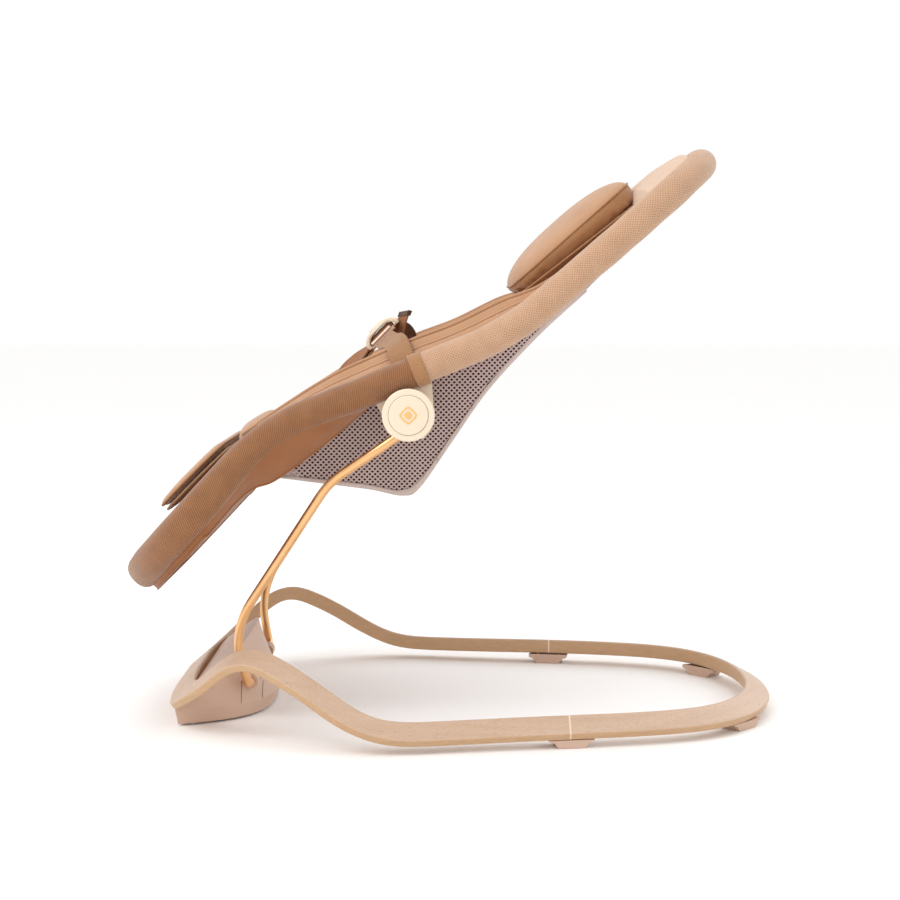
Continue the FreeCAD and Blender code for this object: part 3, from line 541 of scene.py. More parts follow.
SLOTS = {
    "brown_knit": "brown_knit", "tan_knit": "tan_knit", "tan_face": "tan_knit", "band": "band_fabric",
    "brown": "brown_fabric", "welt": "brown_fabric", "orange": "brown_fabric", "boxing": "brown_fabric",
    "mesh": "mauve_mesh", "mesh_plain": "mauve_mesh", "lining": "mauve_mesh",
    "dark_web": "dark_webbing", "amber_web": "dark_webbing", "tan_web": "tan_webbing",
    "cream": "cream_plastic", "beige": "cream_plastic", "bright": "slider_metal",
}


def keep_piece(piece, paint, replaces=(), body="seat", slot=None):
    """Gives a finished piece its material and body, and hides the CAD nodes that it stands for."""
    if not piece.data.materials:
        piece.data.materials.append(PAINTS[paint])
    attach(piece, body)
    slot = slot or SLOTS.get(paint)
    if replaces:
        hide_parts(*replaces)
    return piece


def modifier(piece, kind, **settings):
    """Adds a modifier with its settings."""
    made = piece.modifiers.new(kind.lower(), kind)
    for key, value in settings.items():
        setattr(made, key, value)
    return made


def settle(piece):
    """Puts the modifiers' result into the piece's own mesh."""
    graph = bpy.context.evaluated_depsgraph_get()
    mesh = bpy.data.meshes.new_from_object(piece.evaluated_get(graph))
    piece.modifiers.clear()
    piece.data = mesh
    return piece


def ripple(point, size, amount):
    """Small smooth unevenness of cloth at a place."""
    return noise.noise(point / size) * amount


# ---- Seat frame's lines ----
FRAME_HALF = 0.185
FOOT_BAR = (-314.5, 156)
KNEE = (-180, 301)
HIP = (53, 394)
HEAD_BAR = (244, 559.5)
JOINT_X = -30.0
BAR_CORNER = 0.100
LINE_STEP = 0.0035


def joint_place():
    """Where the front and rear tubes meet, in the plane of a side (x, z)."""
    share = (JOINT_X - KNEE[0]) / (HIP[0] - KNEE[0])
    return (JOINT_X, KNEE[1] + (HIP[1] - KNEE[1]) * share)


def frame_line(bend, bar, bend_radius):
    """Centre line of one tube from the left joint round its bar to the right joint."""
    def at(place, side):
        return Vector((place[0] / 1000, side * FRAME_HALF, place[1] / 1000))
    half_route = (joint_place(), bend, bar)
    route = [at(place, -1) for place in half_route] + [at(place, 1) for place in half_route[::-1]]
    return bent_line(route, [bend_radius, BAR_CORNER, BAR_CORNER, bend_radius], LINE_STEP)


def front_line():
    """Tube from the hubs round the foot end."""
    return frame_line(KNEE, FOOT_BAR, 0.200)


def rear_line():
    """Tube from the hubs round the head end."""
    return frame_line(HIP, HEAD_BAR, 0.270)


def outward_frames(line):
    """Frames along a tube whose side points away from the seat's middle and up to its front."""
    frames = carried_frames(line, Vector((0, 0, 1)))
    if frames[0][2].y > 0:
        return [(point, heading, -side, up) for point, heading, side, up in frames]
    return frames


def wrapped(frames, radius_at):
    """Rings round a tube, each place as far out as radius_at says, with small unevenness."""
    rows = []
    for index, (point, _, side, up) in enumerate(frames):
        row = []
        for angle in angles(44):
            direction = side * math.cos(angle) + up * math.sin(angle)
            uneven = ripple(point + direction * 0.015, 0.03, 0.0006)
            row.append(point + direction * (radius_at(index, angle) + uneven))
        rows.append(row)
    return rows


def build_sleeves():
    """Padded knit covers of both tubes, and the hemmed bands where they meet."""
    front = outward_frames(front_line())
    rear = outward_frames(rear_line())
    last = len(front) - 1

    def front_radius(index, angle):
        near_joint = min(index, last - index) * LINE_STEP
        low_bulge = 0.0050 * smooth_step((near_joint - 0.16) / 0.12) + 0.0012
        seam_pull = max(0.0, math.cos(angle + math.radians(68))) ** 3
        return 0.0150 + low_bulge * seam_pull + 0.0006 * math.cos(2 * angle)

    piece = skin("front_sleeve_cover", wrapped(front, front_radius), around=True)
    keep_piece(piece, "brown_knit", ["front_sleeve"])
    piece = skin("rear_sleeve_cover", wrapped(rear, lambda index, angle: 0.0148), around=True)
    keep_piece(piece, "tan_knit", ["rear_sleeve"])
    build_band("left", front[:9])
    build_band("right", front[-9:][::-1])


def smooth_step(share):
    """Share from 0 to 1, eased at both ends and held outside them."""
    share = min(max(share, 0.0), 1.0)
    return share * share * (3 - 2 * share)


def build_band(name, frames):
    """Folded hem round the meeting of two sleeves: a flat band between two piped edges."""
    start, _, side, up = frames[0]
    heading = (frames[-1][0] - start).normalized()
    profile = [(-1.8, 14.8), (-1.5, 16.7), (-0.6, 17.0), (0.3, 16.7), (1.0, 16.3), (3.0, 16.5), (6.4, 16.5),
               (8.2, 16.3), (8.9, 16.7), (9.8, 17.0), (10.7, 16.7), (11.0, 14.8)]
    rows = []
    for j in range(65):
        angle = 2 * math.pi * j / 64
        direction = side * math.cos(angle) + up * math.sin(angle)
        rows.append([start + heading * (a / 1000) + direction * (r / 1000) for a, r in profile])
    piece = skin("sleeve_band_cover_" + name, rows)
    keep_piece(piece, "band", ["sleeve_band_" + name])


# ---- Plain cloth under the legs ----
LEG_PANEL_DROP = 0.0255


def leg_rim():
    """Seam line on the front sleeve and lower edge of the cloth rim, from the foot bar to the left hub."""
    frames = outward_frames(front_line())
    half = frames[:len(frames) // 2 + 1][::-1]
    seam = []
    edge = []
    hub_end, foot_end = -0.085, -0.256
    for point, _, side, up in half:
        if point.x > hub_end:
            break
        knee_share = smooth_step((point.x + 0.262) / 0.062)
        hub_share = smooth_step((point.x + 0.150) / 0.060)
        drop = 0.0185 - 0.0062 * knee_share + 0.0022 * hub_share
        out = 0.0065 + 0.0033 * knee_share - 0.0060 * hub_share
        seam.append(point + side * out - up * drop)
        if point.x < foot_end:
            edge.append(point + side * 0.006 - up * LEG_PANEL_DROP)
    bend = [edge[-1], mm(-236, -184, 202), mm(-212, -176, 230), mm(-194, -171, 244.5), mm(-173, -169, 252.5),
            mm(-128, -172, 285), mm(-84, -176, 322)]
    edge += curve_through(bend, 8)[1:]
    return evenly(seam, count=110), evenly(edge, count=110)


def build_leg_cloth():
    """Rim on each side that hangs from the sleeve's seam, and the panel under the legs."""
    seam, edge = leg_rim()
    rows = []
    for top, low in zip(seam, edge):
        row = []
        for j in range(9):
            share = j / 8
            point = top.lerp(low, share)
            swell = min((low - top).length * 0.07, 0.004) * math.sin(math.pi * share)
            point.y -= swell + ripple(point, 0.035, 0.0012) * math.sin(math.pi * share)
            row.append(point)
        rows.append(row)
    for name, side in SIDES.items():
        piece = skin("leg_gusset_cloth_" + name, to_side(rows, side))
        keep_piece(piece, "orange", ["leg_gusset_" + name])
        trim = tube("leg_edge_binding_" + name, to_side([edge], side)[0], 0.0011, sides=8)
        keep_piece(trim, "orange")
    forward_up = Vector((-0.73, 0.0, 0.68))

    def swell(share, place):
        return forward_up * (0.006 * (1 - share * share) + ripple(place, 0.05, 0.0015) * (1 - share ** 4))

    rows = [crossing(low, 33, swell) for low in edge if low.y < -0.086 and low.x < -0.170]
    piece = skin("under_panel_cloth", rows)
    keep_piece(piece, "orange", ["under_panel"])


# ---- Mesh bucket ----
# The mesh sides run from beside the tube down to the bucket's bottom edge; (x, y, z), left side
BUCKET_TOP = [(-196, -168, 268), (-150, -168, 300), (-100, -168, 321), (-60, -168, 337), (-25, -168, 351),
              (5, -168, 363), (40, -168, 378), (80, -168, 404), (125, -168, 441)]
BUCKET_LOW = [(-171, -160, 254), (-126, -140, 246), (-85, -124, 239), (-53, -116, 232), (-36, -116, 240),
              (-5, -124, 285), (32, -140, 339), (80, -156, 392), (125, -164, 434)]
CELL_WIDE = 0.0052
CELL_HIGH = 0.0054
HOLE_SHARE = 0.50
STRAND_RELIEF = 0.0004
# gap between each mesh side and the sheet of painted shade behind it
SHADE_SHEET_GAP = 0.0035


def inside(place, outline):
    """Whether a flat place lies inside a closed outline."""
    found = False
    for (x0, y0), (x1, y1) in zip(outline, outline[1:] + outline[:1]):
        if (y0 > place[1]) != (y1 > place[1]):
            if place[0] < x0 + (x1 - x0) * (place[1] - y0) / (y1 - y0):
                found = not found
    return found


def perforated(name, low, high, accept, to_space):
    """Knitted mesh: a diamond net with an eight-sided hole in each cell, mapped from flat to space."""
    corners = []
    lookup = {}
    faces = []

    def corner(key, flat, relief):
        if key not in lookup:
            lookup[key] = len(corners)
            corners.append(to_space(flat, relief))
        return lookup[key]

    half_wide, half_high = CELL_WIDE / 2, CELL_HIGH / 2
    for row in range(int((high[1] - low[1]) / half_high) + 1):
        for column in range(int((high[0] - low[0]) / half_wide) + 1):
            centre = (low[0] + column * half_wide, low[1] + row * half_high)
            if (row + column) % 2 or not accept(centre):
                continue
            outer = []
            inner = []
            for step in range(8):
                turn = math.pi * step / 4
                dx, dy = round(math.cos(turn)), round(math.sin(turn))
                share = 0.5 if step % 2 else 1.0
                flat = (centre[0] + dx * share * half_wide, centre[1] + dy * share * half_high)
                key = (2 * column + dx * (1 if step % 2 else 2), 2 * row + dy * (1 if step % 2 else 2))
                outer.append(corner(key, flat, STRAND_RELIEF))
                flat = (centre[0] + math.cos(turn) * half_wide * HOLE_SHARE,
                        centre[1] + math.sin(turn) * half_high * HOLE_SHARE * 0.86)
                inner.append(corner((row, column, step, "hole"), flat, 0.0))
            for step in range(8):
                after = (step + 1) % 8
                faces.append((outer[step], outer[after], inner[after], inner[step]))
    return make_object(name, corners, faces)


def build_side_nets(top, low):
    """Mesh sides with real holes between two edges, and behind each a near-black sheet of painted shade seen
    through the holes.
    """
    rows = []
    # share of the way down, and how far the wall bulges outward there
    levels = [(j / 10, Vector((0, -0.003 * math.sin(math.pi * j / 10), 0))) for j in range(11)]
    for a, b in zip(top, low):
        rows.append([a.lerp(b, share) + bulge for share, bulge in levels])
    width = len(rows[0])
    polygons = [(i * width + j, i * width + j + 1, (i + 1) * width + j + 1, (i + 1) * width + j)
                for i in range(len(rows) - 1) for j in range(width - 1)]
    wall = BVHTree.FromPolygons([point for row in rows for point in row], polygons)

    def on_wall(flat, relief):
        start = Vector((flat[0], -0.4, flat[1]))
        hit = wall.ray_cast(start, Vector((0, 1, 0)))[0]
        if hit is None:
            hit = wall.find_nearest(Vector((flat[0], -0.150, flat[1])))[0]
        return Vector((flat[0], hit.y - relief, flat[1]))

    outline = [(-0.178, 0.2545)] + [(p.x, p.z) for p in low if p.x > -0.171]
    outline += [(p.x, p.z) for p in reversed(top) if p.x > -0.096] + [(-0.090, 0.322)]

    def on_side(centre):
        return all(inside((centre[0] + ahead, centre[1] + rise), outline)
                   for ahead, rise in ((0.0, 0.0), (0.0, -0.003), (0.0016, -0.0012)))

    for name, side in SIDES.items():
        def to_space(flat, relief, side=side):
            return to_side([[on_wall(flat, relief)]], side)[0][0]

        piece = perforated("side_mesh_net_" + name, (-0.180, 0.230), (0.126, 0.442), on_side, to_space)
        keep_piece(piece, "mesh", ["side_mesh_" + name])

    # painted shade: a near-black sheet just inside each mesh side, seen through its holes
    for name, side in SIDES.items():
        shade_rows = [[point + Vector((0, SHADE_SHEET_GAP, 0)) for point in row] for row in rows[8:]]
        piece = skin("side_mesh_painted_shade_" + name, to_side(shade_rows, side))
        keep_piece(piece, "lining")


def build_base_net(low):
    """Mesh bottom and back, across between the two low edges."""
    pitch = 0.001
    line = evenly(low, step=pitch)
    reach = pitch * (len(line) - 1)

    def on_base(flat, relief):
        index = min(max(flat[0] / pitch, 0.0), len(line) - 1.001)
        first = int(index)
        point = line[first].lerp(line[first + 1], index - first)
        heading = (line[first + 1] - line[first]).normalized()
        out = Vector((heading.z, 0.0, -heading.x)).normalized()
        share = flat[1] / point.y
        return Vector((point.x, flat[1], point.z)) + out * (relief - 0.003 * (1 - share * share))

    def on_cloth(centre):
        index = min(int(centre[0] / pitch), len(line) - 1)
        return -0.001 < centre[0] < reach - 0.004 and abs(centre[1]) < -line[index].y - 0.006

    piece = perforated("seat_base_net", (0.0, -0.166), (reach, 0.166), on_cloth, on_base)
    keep_piece(piece, "mesh", ["seat_base_panel"])


def build_mesh_hems(top, low):
    """Plain hem folded round the low edge of each side."""
    hem = []
    inward = Vector((0, 0.007, 0))
    out = Vector((0.0, -0.0012, 0.0)) + Vector((0.75, 0, -0.66)) * 0.0010
    for a, b in zip(top, low):
        rise = a - b
        wide = 0.0055 + 0.0035 * smooth_step((b.x + 0.060) / 0.020)
        up = rise.normalized() * min(wide, rise.length * 0.9)
        hem.append([b + up + out, b + up * 0.55 + out * 1.3, b + up * 0.1 + out * 1.5,
                    b + inward * 0.4 + out * 1.6, b + inward + out])
    for name, side in SIDES.items():
        piece = skin("mesh_hem_" + name, to_side(hem, side))
        modifier(piece, "SOLIDIFY", thickness=0.0009)
        keep_piece(piece, "mesh_plain")


def build_head_panel():
    """Plain cloth behind the head."""
    def bow(share, place):
        return Vector((0.66, 0.0, -0.75)) * (0.001 * (1 - share * share) + ripple(place, 0.05, 0.001))

    # its left edge, (x, y, z)
    edge = ((125, -163, 434), (148, -161, 457), (172, -158, 479), (189, -149, 494), (202, -137, 506),
            (214, -121, 517.5), (224, -105, 527), (231, -90, 533), (237, -77, 538))
    piece = skin("head_panel_cloth", [crossing(mm(*place), 25, bow) for place in edge])
    keep_piece(piece, "mesh_plain", ["head_panel"])


def build_bucket():
    """Mesh bucket between the tubes, and the plain panel above it."""
    top = curve_through([mm(*place) for place in BUCKET_TOP])
    low = curve_through([mm(*place) for place in BUCKET_LOW])
    build_side_nets(top, low)
    build_base_net(low)
    build_mesh_hems(top, low)
    build_head_panel()


def build_head_face():
    """Plain cloth across the front of the head loop, stretched over the sleeve."""
    frames = outward_frames(rear_line())
    half = frames[:len(frames) // 2 + 1][::-1]
    loop_end, loop_flank, tip = 0.184, -0.088, 0.262
    rows = []
    for point, _, side, up in half:
        edge = point - side * 0.0045 + up * 0.0136
        if edge.y > loop_flank:
            continue
        if edge.x < loop_end:
            break
        crown = 0.0105 * smooth_step((tip - edge.x) / 0.05)

        def dome(share, place, up=up, crown=crown):
            return up * (crown * (1 - share ** 4) + ripple(place, 0.05, 0.0008))

        rows.append(crossing(edge, 29, dome))
    # the cloth turns down behind the pillow
    rows.append([place + Vector((-0.002, 0.0, -0.034)) for place in rows[-1]])
    piece = skin("head_face_cloth", rows)
    keep_piece(piece, "tan_face")


# ---- Liner, leg pad and pillow ----
# Liner stations: raised edge (x, y, z), middle (x, z), and the trough's corner as its
# distance from the middle plane and its share of the way up from middle to edge
LINER = [
    ((-214, 122, 290), (-212, 277), (98, 0.3)),
    ((-176, 136, 316), (-171, 285), (112, 0.25)),
    ((-124, 142, 349), (-110, 262), (110, 0.07)),
    ((-80, 144, 370), (-66, 248), (103, 0.04)),
    ((-40, 144, 387), (-30, 262), (103, 0.05)),
    ((0, 144, 402), (6, 308), (108, 0.08)),
    ((45, 146, 424), (44, 356), (120, 0.1)),
    ((88, 150, 442), (86, 406), (130, 0.15)),
    ((150, 148, 490), (152, 474), (130, 0.25)),
    ((205, 124, 536), (207, 528), (100, 0.25)),
]
LINER_THICK = 0.009
SIMULATED_FRAMES = 20


def liner_sections():
    """Per station, places across the liner: its outer face and its inner face from left to right."""
    edges = curve_through([mm(*edge) for edge, _, _ in LINER], 9)
    middles = curve_through([mm(x, 0, z) for _, (x, z), _ in LINER], 9)
    turns = curve_through([Vector((corner / 1000, share, 0)) for _, _, (corner, share) in LINER], 9)
    sections = []
    for edge, middle, turn in zip(edges, middles, turns):
        rise = Vector((edge.x - middle.x, 0.0, edge.z - middle.z))
        high = rise.length
        rise.normalize()
        half = vectors((edge.y, high, 0), (edge.y * 0.6 + turn.x * 0.4, high * 0.58, 0),
                       (turn.x + 0.002, high * (turn.y + 0.16), 0),
                       (turn.x - 0.016, high * turn.y + 0.001, 0),
                       (turn.x * 0.45, high * turn.y - 0.001, 0), (0, high * turn.y - 0.0015, 0))
        curve = evenly(curve_through(half, 8), count=26)
        outline = [Vector((-p.x, p.y, 0)) for p in curve] + [Vector((p.x, p.y, 0)) for p in curve[-2::-1]]
        outer = []
        inner = []
        last = len(outline) - 1
        for j, p in enumerate(outline):
            ahead = outline[min(j + 1, last)] - outline[max(j - 1, 0)]
            normal = Vector((-ahead.y, ahead.x, 0)).normalized()
            to_edge = min(j, last - j) / 5
            thick = LINER_THICK * (0.45 + 0.55 * smooth_step(to_edge))
            thick *= 1.0 - 0.30 * math.exp(-((abs(p.x) - turn.x * 0.9) / 0.0035) ** 2)
            thick *= 1.0 - 0.22 * math.exp(-((abs(p.x) - turn.x * 0.38) / 0.003) ** 2)
            q = p + normal * thick
            outer.append(middle + rise * p.y + Vector((0, p.x, 0)))
            inner.append(middle + rise * q.y + Vector((0, q.x, 0)))
        sections.append((outer, inner))
    return sections


def build_liner():
    """Padded seat liner with sewn channels, and the welts along its raised edges."""
    sections = liner_sections()
    rows = [outer + inner[::-1] for outer, inner in sections]
    piece = skin("seat_liner_pad", rows, around=True, caps=True)
    keep_piece(piece, "brown", ["seat_liner"] + pair("liner_side"))
    modifier(piece, "SUBSURF", levels=1, render_levels=1)
    centres = [point for point in front_line()[::-1] + rear_line() if point.y < -0.184]
    skirt = []
    # from behind the knee roll to the pillow
    for outer, _ in sections[5:-14]:
        edge = outer[0]
        centre = min(centres, key=lambda point, x=edge.x: abs(point.x - x))
        low = Vector((edge.x, centre.y + 0.0120, centre.z + 0.0105))
        row = []
        for j in range(13):
            share = j / 12
            pleat = 0.0011 * abs(math.sin(3 * math.pi * share))
            sag = 0.0035 * math.sin(math.pi * share)
            row.append(edge.lerp(low, share) + Vector((0, -0.5 * pleat, pleat - sag)))
        skirt.append(row)
    for name, side in SIDES.items():
        sided = to_side(skirt, side)
        piece = skin("liner_skirt_" + name, sided)
        keep_piece(piece, "brown")
        welts = ((1, 0, 0.0019, "brown"), (2, 4, 0.0012, "welt"), (3, 8, 0.0012, "welt"))
        for number, place, radius, paint in welts:
            line = [row[place] + Vector((0, 0.0002 * side, 0.0003)) for row in sided]
            piece = tube("liner_welt_%s_%d" % (name, number), evenly(line, 0.005), radius, sides=8)
            keep_piece(piece, paint)


def rounded_outline(low, high, half, corner, steps=12):
    """Flat rounded rectangle from (low, -half) to (high, half), as (along, y) places."""
    made = []
    far, near, side = high - corner, low + corner, half - corner
    for x, y, start in ((far, side, 0), (near, side, 90), (near, -side, 180), (far, -side, 270)):
        for step in range(steps + 1):
            angle = math.radians(start + 90 * step / steps)
            made.append(Vector((x + corner * math.cos(angle), y + corner * math.sin(angle), 0)))
    made.append(made[0])
    return evenly(made, count=121)[:-1]


def cushion(name, outline, rings, place):
    """Closed pad: each ring is the outline scaled about its middle and lifted by a function of its place."""
    middle = sum(outline, Vector()) / len(outline)
    rows = []
    for scale, lift in rings:
        row = []
        for point in outline:
            flat = middle + (point - middle) * scale
            row.append(place(flat.x, flat.y, lift(flat.x, scale)))
        rows.append(row)
    return skin(name, rows, around=True, caps=True)


def puff(piece, cap, hold=(), hold_within=0.004, pressure=4.0, voxel=0.0045):
    """Swells a pad with a short cloth simulation, held along its seams, and keeps the result as its mesh."""
    modifier(piece, "REMESH", mode="VOXEL", voxel_size=voxel)
    settle(piece)
    start = [vertex.co.copy() for vertex in piece.data.vertices]
    cloth = piece.modifiers.new("cloth", "CLOTH")
    cloth.settings.use_pressure = True
    cloth.settings.uniform_pressure_force = pressure
    cloth.settings.effector_weights.gravity = 0.0
    cloth.settings.quality = 5
    if hold:
        group = piece.vertex_groups.new(name="seams")
        count = len(hold)
        near = BVHTree.FromPolygons(hold, [(i, (i + 1) % count, (i + 1) % count) for i in range(count)])
        held = [v.index for v in piece.data.vertices if near.find_nearest(v.co, hold_within)[0] is not None]
        group.add(held, 1.0, "REPLACE")
        cloth.settings.vertex_group_mass = "seams"
    for number in range(1, SIMULATED_FRAMES + 1):
        bpy.context.scene.frame_set(number)
    settle(piece)
    bpy.context.scene.frame_set(1)
    for vertex, origin in zip(piece.data.vertices, start):
        move = vertex.co - origin
        if move.length > cap:
            vertex.co = origin + move.normalized() * cap
    piece.vertex_groups.clear()
    piece.data.shade_smooth()
    modifier(piece, "SUBSURF", levels=1, render_levels=1)
    return settle(piece)


def slope_place(origin, heading):
    """Function from (along, y, lift) in metres on a slanting plane to the row frame."""
    ahead = Vector((heading[0], 0.0, heading[1])).normalized()
    rise = Vector((-ahead.z, 0.0, ahead.x))
    base = mm(origin[0], 0, origin[1])
    return lambda along, y, lift: base + ahead * along + Vector((0, y, 0)) + rise * lift


def rim_round(scale):
    """Share of a pad's half thickness at a ring: full inside, a quarter circle at the rim."""
    past = min(max(0.0, scale - 0.92) / 0.08, 1.0)
    return math.sqrt(1 - past * past)


def build_leg_pad():
    """Two thin layers sewn at their rims, with a dark gap between them."""
    place = slope_place((-291, 212), (1, 1))
    for name, low, high, inset, paint in (("upper", 0.0034, 0.0118, 0.0, "brown"),
                                          ("lower", -0.0012, 0.0030, 0.001, "boxing")):
        outline = rounded_outline(0.001 + inset, 0.091 - inset, 0.122 - inset, 0.038)
        middle = (low + high) / 2

        def dome(along, scale, top=high, mid=middle):
            return mid + (top - mid) * rim_round(scale)

        def under(along, scale, bottom=low, mid=middle):
            return mid + (bottom - mid) * rim_round(scale)

        scales = (0.02, 0.25, 0.5, 0.7, 0.86, 0.92, 0.94, 0.96, 0.975, 0.988, 0.996)
        rings = [(scale, dome) for scale in scales + (1.0,)] + [(scale, under) for scale in scales[::-1]]
        piece = cushion("leg_pad_" + name, outline, rings, place)
        rim = [place(p.x, p.y, middle) for p in outline]
        if name == "upper":
            puff(piece, 0.004, rim, 0.003, pressure=3.0, voxel=0.004)
        keep_piece(piece, paint, ["leg_pad"] if name == "upper" else [])
        piping = tube("leg_pad_piping_" + name, rim + rim[:1], 0.0013, sides=8, closed=True)
        keep_piece(piping, "boxing")


def build_knee_roll():
    """Round bolster across the liner's front edge, under the knees."""
    rows = []
    half = 0.118
    for step in range(49):
        share = 2 * step / 48 - 1
        radius = 0.0125 * (1 - abs(share) ** 7) ** 0.5 + 0.0003
        centre = mm(-203, 0, 291) + Vector((0, half * share, 0))
        row = []
        for j in range(28):
            angle = 2 * math.pi * j / 28
            along, rise = radius * 1.35 * math.cos(angle), radius * math.sin(angle)
            row.append(centre + Vector((0.80 * along - 0.60 * rise, 0, 0.60 * along + 0.80 * rise)))
        rows.append(row)
    piece = skin("knee_roll", rows, around=True, caps=True)
    puff(piece, 0.0015, pressure=2.0)
    keep_piece(piece, "brown")


def build_pillow():
    """Boxed head pillow: crowned top, boxing band and piped seams."""
    place = slope_place((60, 441), (118, 82))
    outline = rounded_outline(-0.004, 0.1505, 0.108, 0.042)

    def seam(along):
        return 0.0005 + 0.118 * along

    def base(along):
        return -0.0110 + 0.055 * along

    def top(along, scale):
        return seam(along) + 0.0190 * (1 - scale ** 3.2) ** 0.62

    def bottom(along, scale):
        return base(along) - 0.0015 * (1 - scale ** 2)

    scales = (0.02, 0.2, 0.4, 0.55, 0.7, 0.82, 0.90, 0.945, 0.972, 0.988, 0.996)
    rings = [(scale, top) for scale in scales]
    rings += [(1.0, lambda along, scale: seam(along))]
    for down in (0.25, 0.5, 0.75):
        rings.append((1.008, lambda along, scale, down=down: seam(along) * (1 - down) + base(along) * down))
    rings += [(1.0, lambda along, scale: base(along))]
    rings += [(scale, bottom) for scale in (0.98, 0.9, 0.7, 0.4, 0.02)]
    piece = cushion("head_pillow_cushion", outline, rings, place)
    upper_seam = [place(p.x, p.y, seam(p.x)) for p in outline]
    lower_seam = [place(p.x, p.y, base(p.x)) for p in outline]
    puff(piece, 0.006, upper_seam, 0.0035, pressure=3.0, voxel=0.0045)
    piece.data.materials.append(PAINTS["brown"])
    piece.data.materials.append(PAINTS["boxing"])
    normal = place(0, 0, 1) - place(0, 0, 0)
    ahead = place(1, 0, 0) - place(0, 0, 0)
    origin = place(0, 0, 0)
    for face in piece.data.polygons:
        offset = face.center - origin
        face.material_index = 1 if offset.dot(normal) < seam(offset.dot(ahead)) else 0
    keep_piece(piece, "brown", ["head_pillow"])
    for name, line, radius in (("upper", upper_seam, 0.0011), ("lower", lower_seam, 0.0010)):
        piping = tube("pillow_piping_" + name, line + line[:1], radius, sides=8, closed=True)
        keep_piece(piping, "boxing")


# ---- Harness ----
BUCKLE = mm(-76, 0, 390)
BUCKLE_ALONG = Vector((0.70, 0.0, 0.714))
BUCKLE_RISE = Vector((-0.714, 0.0, 0.70))
WEBBING = 24.0


def at_buckle(along, across, rise):
    """A place in the buckle's own axes, in millimetres, turned into the row frame."""
    return BUCKLE + (BUCKLE_ALONG * along + Vector((0, across, 0)) + BUCKLE_RISE * rise) / 1000


def strap(name, line, faces, widths, thick=1.8, width=WEBBING, steps=9):
    """Webbing with rolled edges through places that each have a face direction and a width direction."""
    line = curve_through(line, steps)
    faces = curve_through(faces, steps)
    widths = curve_through(widths, steps)
    upper = [(-0.5, 0.0), (-0.485, 0.42), (-0.44, 0.56), (-0.40, 0.42), (-0.2, 0.44),
             (0.2, 0.44), (0.40, 0.42), (0.44, 0.56), (0.485, 0.42)]
    profile = upper + [(-a, -b) for a, b in upper]
    rows = []
    for point, face, across in zip(line, faces, widths):
        across = across.normalized()
        face = (face - across * face.dot(across)).normalized()
        rows.append([point + across * (a * width / 1000) + face * (b * thick / 1000) for a, b in profile])
    return skin(name, rows, around=True, caps=True)


def box_bar(name, size, place, bevel=0.0006):
    """Bevelled bar of that size in the buckle's axes, about a place."""
    half = [value / 2 for value in size]
    corners = [at_buckle(place[0] + a * half[0], place[1] + b * half[1], place[2] + c * half[2])
               for a in (-1, 1) for b in (-1, 1) for c in (-1, 1)]
    faces = [(0, 1, 3, 2), (4, 6, 7, 5), (0, 4, 5, 1), (2, 3, 7, 6), (0, 2, 6, 4), (1, 5, 7, 3)]
    piece = make_object(name, corners, faces, smooth=False)
    modifier(piece, "BEVEL", width=bevel, segments=3)
    return piece


def build_buckle():
    """Arched cream cover, open at the sides, with a floor plate."""
    foot = -3.6
    outer = [(-21.0, foot), (-21.4, 0.0), (-19.6, 4.2), (-14.5, 8.2), (-7.0, 10.2), (0.0, 10.6), (8.0, 10.2),
             (15.0, 8.0), (20.0, 3.8), (21.6, -0.4), (20.8, foot)]
    inner = [(16.8, foot), (17.0, -0.4), (13.6, 3.2), (7.0, 5.4), (0.0, 6.0), (-6.5, 5.6), (-12.5, 4.0),
             (-16.8, 0.6), (-17.2, foot)]
    outer = curve_through([Vector((*place, 0)) for place in outer], 4)
    inner = curve_through([Vector((*place, 0)) for place in inner], 4)
    rows = []
    for across, shrink in ((-17.6, 0.955), (-17.0, 0.985), (-15.6, 1.0), (0.0, 1.0),
                           (15.6, 1.0), (17.0, 0.985), (17.6, 0.955)):
        row = []
        for line, scale in ((outer, shrink), (inner, 1 / shrink ** 0.5)):
            row += [at_buckle(p.x * scale, across, foot + (p.y - foot) * scale) for p in line]
        rows.append(row)
    piece = skin("buckle_cover", rows, around=True, caps=True)
    keep_piece(piece, "cream", ["buckle_body"])
    # painted shade: the floor plate takes the darker beige instead of the cover's cream, for the shade
    # inside the arch
    plate = box_bar("buckle_floor", (36, 32, 1.6), (0, 0, -2.8))
    keep_piece(plate, "beige")


def build_sliders():
    """Metal adjusters beside the buckle: a frame and a knurled roller bar on each waist strap."""
    for name, side in SIDES.items():
        middle = side * 46.0
        bars = ((1, (30, 2.4, 3.0), (-0.8, middle - 5.4, -4.6)),
                (2, (30, 2.4, 3.0), (-0.8, middle + 5.4, -4.6)),
                (3, (2.4, 12.4, 3.6), (-15.4, middle, -4.6)),
                (4, (2.4, 12.4, 3.6), (13.8, middle, -4.6)))
        for number, size, place in bars:
            piece = box_bar("slider_frame_%s_%d" % (name, number), size, place)
            keep_piece(piece, "bright", ["strap_slider_" + name] if number == 1 else [])
        rows = []
        for step in range(49):
            along = -14.2 + 26.8 * step / 48
            radius = 3.0 - (0.22 if step % 2 else 0.0)
            if step in (0, 48):
                radius = 2.2
            rows.append([at_buckle(along, middle + radius * math.cos(angle), -1.8 + radius * math.sin(angle))
                         for angle in angles(20)])
        piece = skin("slider_roller_" + name, rows, around=True, caps=True)
        keep_piece(piece, "bright")


